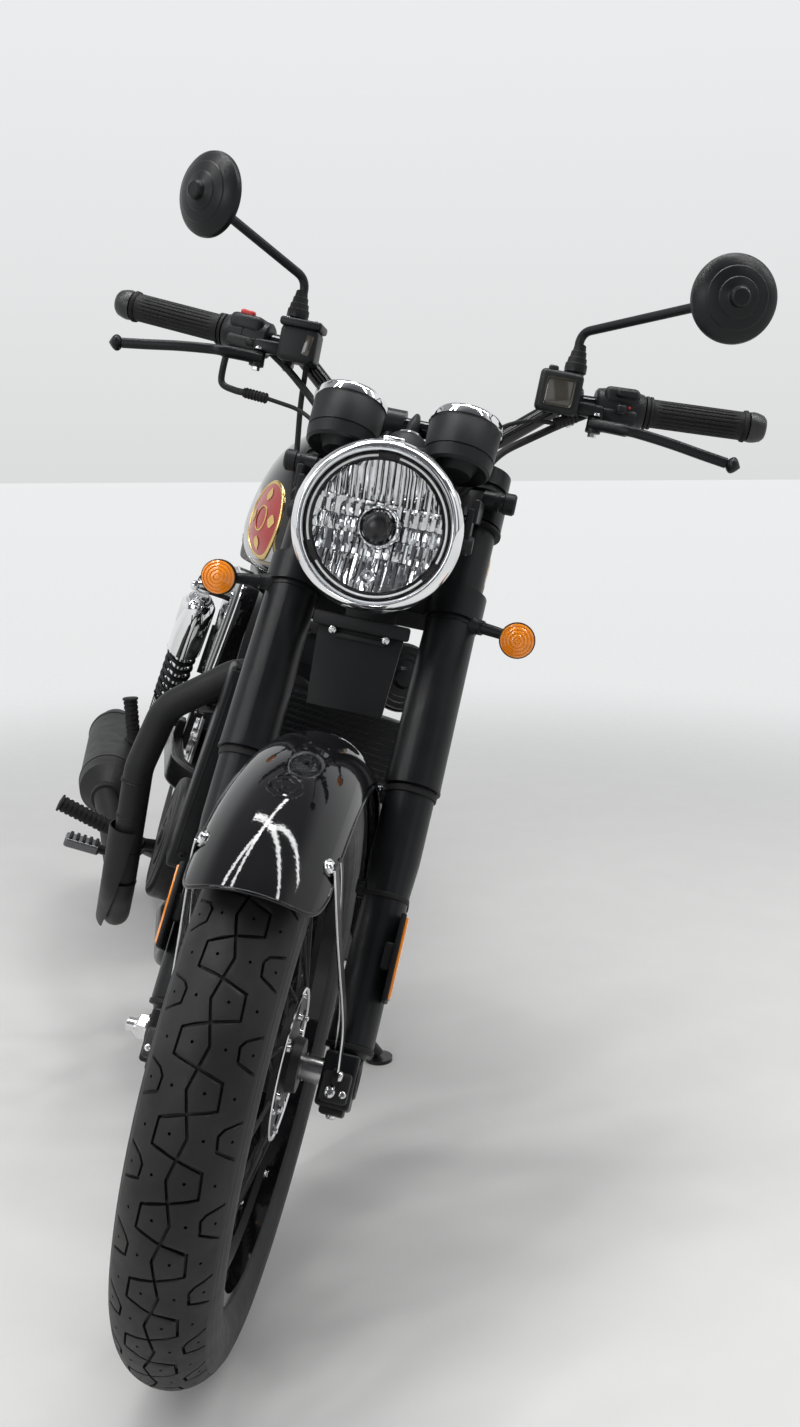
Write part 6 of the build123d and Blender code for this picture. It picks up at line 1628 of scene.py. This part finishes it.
# ---------------------------------------------------------------------- rear wheel
# A wider road tyre with the front one's pattern, on a gloss-black rim. Black steel spokes in plated
# nipples lace the rim to a drum-shaped black hub, and flange bolts ring both of its faces.
rear_rubber = worn_rubber("rear_tyre_rubber")
rear_tyre = tread(REAR_AXLE, REAR_TYRE_R, 0.082, 90.0, 1.72, 1.6)
rear_tyre = rear_tyre.piece("rear_tyre_tread", "rear_wheel", rear_rubber, "tyre_rubber", sharp=30,
    turned=False)
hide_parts("rear_tyre")
rear_walls = side_walls(REAR_AXLE, [(0.0715, 0.2785), (0.0730, 0.2764), (0.0748, 0.2720),
    (0.0740, 0.2640), (0.0712, 0.2560), (0.0670, 0.2480), (0.0610, 0.2400), (0.0562, 0.2345),
    (0.0545, 0.2300), (0.0540, 0.2180)], [(0.2690, 0.2698), (0.2600, 0.2615), (0.2520, 0.2528),
    (0.2420, 0.2430)])
rear_walls.piece("rear_tyre_walls", "rear_wheel", wall_rubber, "tyre_rubber", sharp=60)
rear_screws = Shape()
for i in range(6):
    way = round_way(math.radians(60 * i + 12))
    flange_bolt(rear_screws, REAR_AXLE + X * 0.0945 + way * 0.052, X, 0.0058)
    flange_bolt(rear_screws, REAR_AXLE + X * -0.0790 + way * 0.050, -X, 0.0046)
rear_nipples = spoke_nipples(REAR_AXLE, 197.5, 0.010, 0.1965, 0.14)
rear_nipples.piece("rear_spoke_nipples", "rear_wheel", bright_steel, "steel")
rear_screws.piece("rear_hub_bolts", "rear_wheel", bright_steel, "steel", sharp=30)
tyre_valve(REAR_AXLE, 0.197).piece("rear_tyre_valve", "rear_wheel", rubber_black, "black_rubber")

# ---------------------------------------------------------------------- chain drive
# A roller chain of pressed steel plates runs on the machine's left, round a toothed sprocket bolted to
# the rear hub. A flat guard covers its top run.
CHAIN_FRONT, CHAIN_X = Vector((0, 0.772, 0.352)), 0.092
CHAIN_SMALL, CHAIN_LARGE = 0.038, 0.108
span = REAR_AXLE - CHAIN_FRONT
span_tilt = math.atan2(span.z, span.y)
spread = math.asin((CHAIN_LARGE - CHAIN_SMALL) / span.length)


def chain_line():
    """The pitch line as small steps: the top run, the rear arc, the low run and the front arc."""
    def on(centre, radius, angle):
        return Vector((CHAIN_X, centre.y + radius * math.cos(angle), centre.z + radius * math.sin(angle)))
    up, down = span_tilt + math.pi / 2 + spread, span_tilt - math.pi / 2 - spread
    line = [on(REAR_AXLE, CHAIN_LARGE, up + (down - up) * i / 90) for i in range(91)]
    line += [on(CHAIN_FRONT, CHAIN_SMALL, down - (math.tau + down - up) * i / 40) for i in range(41)]
    return line + line[:1]


def along_line(line, count):
    """That many points, evenly spaced along a closed line."""
    lengths = [(b - a).length for a, b in zip(line, line[1:])]
    pitch, points, walked, k = sum(lengths) / count, [], 0.0, 0
    for i in range(count):
        while walked + lengths[k] < pitch * i:
            walked += lengths[k]
            k += 1
        points.append(line[k].lerp(line[k + 1], (pitch * i - walked) / lengths[k]))
    return points


links, rollers = Shape(), Shape()
chain_points = along_line(chain_line(), 112)
for i, here in enumerate(chain_points):
    ahead = chain_points[(i + 1) % len(chain_points)] - here
    middle = here + ahead / 2
    way, rise = ahead.normalized(), X.cross(ahead).normalized()
    offset = 0.0056 if i % 2 else 0.0040
    outline = []
    for end, start in ((1, -90), (-1, 90)):
        outline += [(end * ahead.length / 2 + 0.0066 * math.cos(math.radians(start + 30 * k)),
            0.0066 * math.sin(math.radians(start + 30 * k))) for k in range(7)]
        outline.append((0, end * 0.0047))
    for side in (1, -1):
        links.plate(outline, 0.0014, origin=middle + X * side * offset, right=way, up=rise)
    rollers.lathe(here - X * 0.0069, X, [(0, 0.0), (0, 0.0022), (0.0030, 0.0022), (0.0030, 0.0048),
        (0.0108, 0.0048), (0.0108, 0.0022), (0.0138, 0.0022), (0.0138, 0.0)], 10)
chain_steel = finish("chain_plates", (0.10, 0.098, 0.092), 0.35, metal=0.9, mottle=0.3, grain=0.1)
links = links.piece("chain_links", "frame", chain_steel, "steel", sharp=30)
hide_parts("drive_chain")
rollers.piece("chain_rollers", "frame", dark_steel, "steel", sharp=30)
teeth = Shape()
for i in range(42):
    a = math.tau * (i + 0.5) / 42
    way = round_way(a)
    around = X.cross(way)
    foot = REAR_AXLE + X * 0.0910 + way * 0.1000
    teeth.plate([(-0.0050, -0.004), (0.0050, -0.004), (0.0042, 0.0030), (0.0016, 0.0110),
        (-0.0016, 0.0110), (-0.0042, 0.0030)], 0.0048, origin=foot, right=around, up=way)
teeth.piece("sprocket_teeth", "rear_wheel", dark_steel, "steel", sharp=30)

# ---------------------------------------------------------------------- rear mudguard
# A gloss-black steel mudguard held by plated bolts. It carries a round lamp on a short stalk, two amber
# indicators and a plain number plate without any characters.
GUARD_EDGE_R = 0.373
rear_bolts = Shape()


def on_guard(degrees, x, radius):
    """A point round the rear axle at that angle above the backward direction."""
    a = math.radians(degrees)
    return REAR_AXLE + Vector((x, math.cos(a) * radius, math.sin(a) * radius))


for degrees, x in ((48, 0.030), (48, -0.030), (72, 0.040), (72, -0.040), (108, 0.034), (108, -0.034)):
    height = GUARD_EDGE_R - 0.0042 * (x / 0.030) ** 2 * 1.2
    foot = on_guard(degrees, x, height)
    way = (foot - on_guard(degrees, x * 0.72, GUARD_EDGE_R - 0.060)).normalized()
    rear_bolts.lathe(foot - way * 0.0030, way, [(0, 0.0075), (0.0040, 0.0073), (0.0040, 0.004)], 24)
    button_screw(rear_bolts, foot + way * 0.0008, way, 0.0052)
rear_bolts.piece("rear_mudguard_screws", "frame", chrome, "bright_chrome", sharp=30)
lamp_red = finish("tail_lamp_red", (0.30, 0.006, 0.006), 0.12, coat=1.0, mottle=0.05, grain=0)
tail_shell, tail_lens, tail_ring = Shape(), Shape(), Shape()
TAIL = Vector((0, 1.640, 0.632))
tail_shell.lathe(TAIL, Y, [(0.0, 0.0), (0.0, 0.0280), (0.0030, 0.0330), (0.0300, 0.0385),
    (0.0400, 0.0392), (0.0400, 0.0)], 64)
tail_ring.lathe(TAIL, Y, [(0.0385, 0.0385), (0.0390, 0.0402), (0.0460, 0.0404), (0.0480, 0.0392),
    (0.0480, 0.0360)], 64, capped=False)
tail_lens.lathe(TAIL, Y, [(0.0440, 0.0372), (0.0540, 0.0368), (0.0575, 0.0352), (0.0560, 0.0335),
    (0.0590, 0.0312), (0.0578, 0.0295), (0.0604, 0.0262), (0.0592, 0.0245), (0.0615, 0.0205),
    (0.0603, 0.0188), (0.0624, 0.0140), (0.0614, 0.0122), (0.0630, 0.0070), (0.0634, 0.0)], 64)
lenses, shells = Shape(), Shape()
rear_stems = Shape()
for side in (1, -1):
    indicator(Vector((side * 0.140, 1.6800, 0.632)), Y, 0.024)
    rear_stems.tube([(side * 0.030, 1.672, 0.632), (side * 0.128, 1.672, 0.632)], 0.0068, 18)
    rear_stems.lathe((side * 0.037, 1.672, 0.632), X * side, [(-0.004, 0.012), (0.004, 0.0118),
        (0.008, 0.0092), (0.016, 0.0086), (0.017, 0.0068)], 28)
tail_lens = tail_lens.piece("tail_lamp_lens", "frame", lamp_red, "amber_lamp", sharp=25)
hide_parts("tail_lights")
tail_shell.piece("tail_lamp_shell", "frame", satin_black, "satin_black", sharp=30)
tail_ring.piece("tail_lamp_ring", "frame", chrome, "bright_chrome", sharp=30)
lenses.piece("rear_indicator_lenses", "frame", amber, "amber_lamp", sharp=25)
shells.piece("rear_indicator_shells", "frame", moulded_black, "black_plastic")
rear_stems.piece("rear_indicator_stems", "frame", moulded_black, "black_plastic")
plate_white = finish("blank_plate", (0.62, 0.62, 0.60), 0.4, mottle=0.05, grain=0.1)
plate_shape, plate_bolts = Shape(), Shape()
plate_shape.plate([(-0.084, -0.056), (0.084, -0.056), (0.087, -0.053), (0.087, 0.053), (0.084, 0.056),
    (-0.084, 0.056), (-0.087, 0.053), (-0.087, -0.053)], 0.0012, origin=(0, 1.8192, 0.470))
plate_shape.tube([(x, 1.8198, 0.470 + z) for x, z in ((-0.082, -0.054), (0.082, -0.054),
    (0.085, -0.051), (0.085, 0.051), (0.082, 0.054), (-0.082, 0.054), (-0.085, 0.051), (-0.085, -0.051),
    (-0.082, -0.054))], 0.0009, 8)
for side in (1, -1):
    flange_bolt(plate_bolts, Vector((side * 0.0625, 1.8200, 0.505)), Y, 0.0036)
plate_shape.piece("blank_number_plate", "frame", plate_white, "satin_black", sharp=30)
plate_bolts.piece("number_plate_bolts", "frame", bright_steel, "steel", sharp=30)

# ---------------------------------------------------------------------- pegs and pedals
# Ribbed rubber sleeves are pushed over the four steel foot rests. A ribbed pad covers the brake pedal,
# and a rubber the gear lever's toe.
peg_rubbers, foot_screws = Shape(), Shape()
for side in (1, -1):
    for start, end, radius in (((0.176, 0.7341, 0.2917), (0.2866, 0.7309, 0.3141), 0.0125),
            ((0.2062, 1.0, 0.3880), (0.2318, 1.0, 0.4515), 0.0122)):
        start = Vector((side * start[0], *start[1:]))
        end = Vector((side * end[0], *end[1:]))
        way = (end - start).normalized()
        long = (end - start).length
        outline = [(0, 0.0112)]
        count = int(long / 0.008)
        for k in range(count):
            at = long * k / count
            outline += [(at + 0.0005, radius), (at + long / count * 0.62, radius),
                (at + long / count * 0.66, radius - 0.0018), (at + long / count, radius - 0.0018)]
        outline += [(long, radius + 0.0015), (long + 0.003, radius + 0.001), (long + 0.004, 0.007),
            (long + 0.004, 0.0)]
        peg_rubbers.lathe(start, way, outline, 28)
for k in range(5):
    peg_rubbers.box((-0.258 + 0.0095 * k, 0.612, 0.3060), (0.0050, 0.031, 0.0040), 0.0012, 2)
toe = Vector((0.064, -0.008, 0.002)).normalized()
peg_rubbers.lathe(Vector((0.176, 0.6030, 0.3002)), toe, [(0, 0.0100), (0.001, 0.0122), (0.050, 0.0122),
    (0.0545, 0.0130), (0.0590, 0.0125), (0.0600, 0.0)], 28)
peg_rubbers.piece("foot_rubbers", "frame", rubber_black, "black_rubber", sharp=30)
for side in (1, -1):
    flange_bolt(foot_screws, Vector((side * 0.0815, 0.880, 0.345)), X * side, 0.0095)
foot_screws.piece("swingarm_pivot_nuts", "frame", dark_steel, "steel", sharp=30)

# ---------------------------------------------------------------------- brakes
# A cast caliper on each disc, both on the machine's right. They have turned caps over the pistons and
# flange bolts, and the front one a bleed nipple.
caliper_bolts, caliper_steps, rear_caliper_bolts = Shape(), Shape(), Shape()
front_caliper = FRONT_AXLE + Vector((-0.058, 0.118, 0.062))
for z in (-0.022, 0.022):
    caliper_steps.lathe(front_caliper + Vector((-0.0225, 0.0, z)), -X, [(0, 0.0195), (0.0035, 0.0190),
        (0.0045, 0.0175), (0.0045, 0.0120), (0.0035, 0.0110), (0.0035, 0.0)], 36)
    flange_bolt(caliper_bolts, front_caliper + Vector((-0.0225, 0.024, z * 1.55)), -X, 0.0046)
caliper_bolts.lathe(front_caliper + Vector((-0.010, 0.031, 0.030)), Y, [(0, 0.0040), (0.006, 0.0040),
    (0.007, 0.0028), (0.014, 0.0026), (0.014, 0)], 12)
caliper_steps.piece("front_caliper_caps", "steering", cast_black, "cast_alloy", sharp=30)
caliper_bolts.piece("front_caliper_bolts", "steering", bright_steel, "steel", sharp=30)
rear_caliper = REAR_AXLE + Vector((-0.077, -0.060, 0.100))
rear_caliper_bolts.lathe(rear_caliper + Vector((-0.0195, -0.012, 0.0)), -X, [(0, 0.0185),
    (0.003, 0.0180), (0.0036, 0.0165), (0.0036, 0.0)], 36)
for y in (-0.032, 0.030):
    flange_bolt(rear_caliper_bolts, rear_caliper + Vector((-0.0195, y, 0.012)), -X, 0.0042)
rear_caliper_bolts.piece("rear_caliper_bolts", "frame", dark_steel, "steel", sharp=30)

# ---------------------------------------------------------------------- axles and frame
# Plated adjuster plates with three marks each hold the ends of the rear axle. Flange bolts hold the
# engine in the frame.
frame_bolts, adjusters = Shape(), Shape()
for side in (1, -1):
    adjusters.box((side * 0.1300, 1.4250, 0.3210), (0.0022, 0.058, 0.030), 0.0008, 1)
    adjusters.box((side * 0.1275, 1.4500, 0.3210), (0.006, 0.003, 0.024), 0.0008, 1)
    for y in (1.398, 1.404, 1.410):
        adjusters.box((side * 0.1313, y, 0.3350), (0.0008, 0.0010, 0.006), 0, 1)
    for at in ((side * 0.0855, 0.462, 0.300), (side * 0.0855, 0.462, 0.400), (side * 0.0685, 0.776,
            0.268)):
        flange_bolt(frame_bolts, Vector(at), X * side, 0.0062)
adjusters.piece("chain_adjusters", "frame", bright_steel, "steel", sharp=30)
frame_bolts.piece("engine_mount_bolts", "frame", dark_steel, "steel", sharp=30)
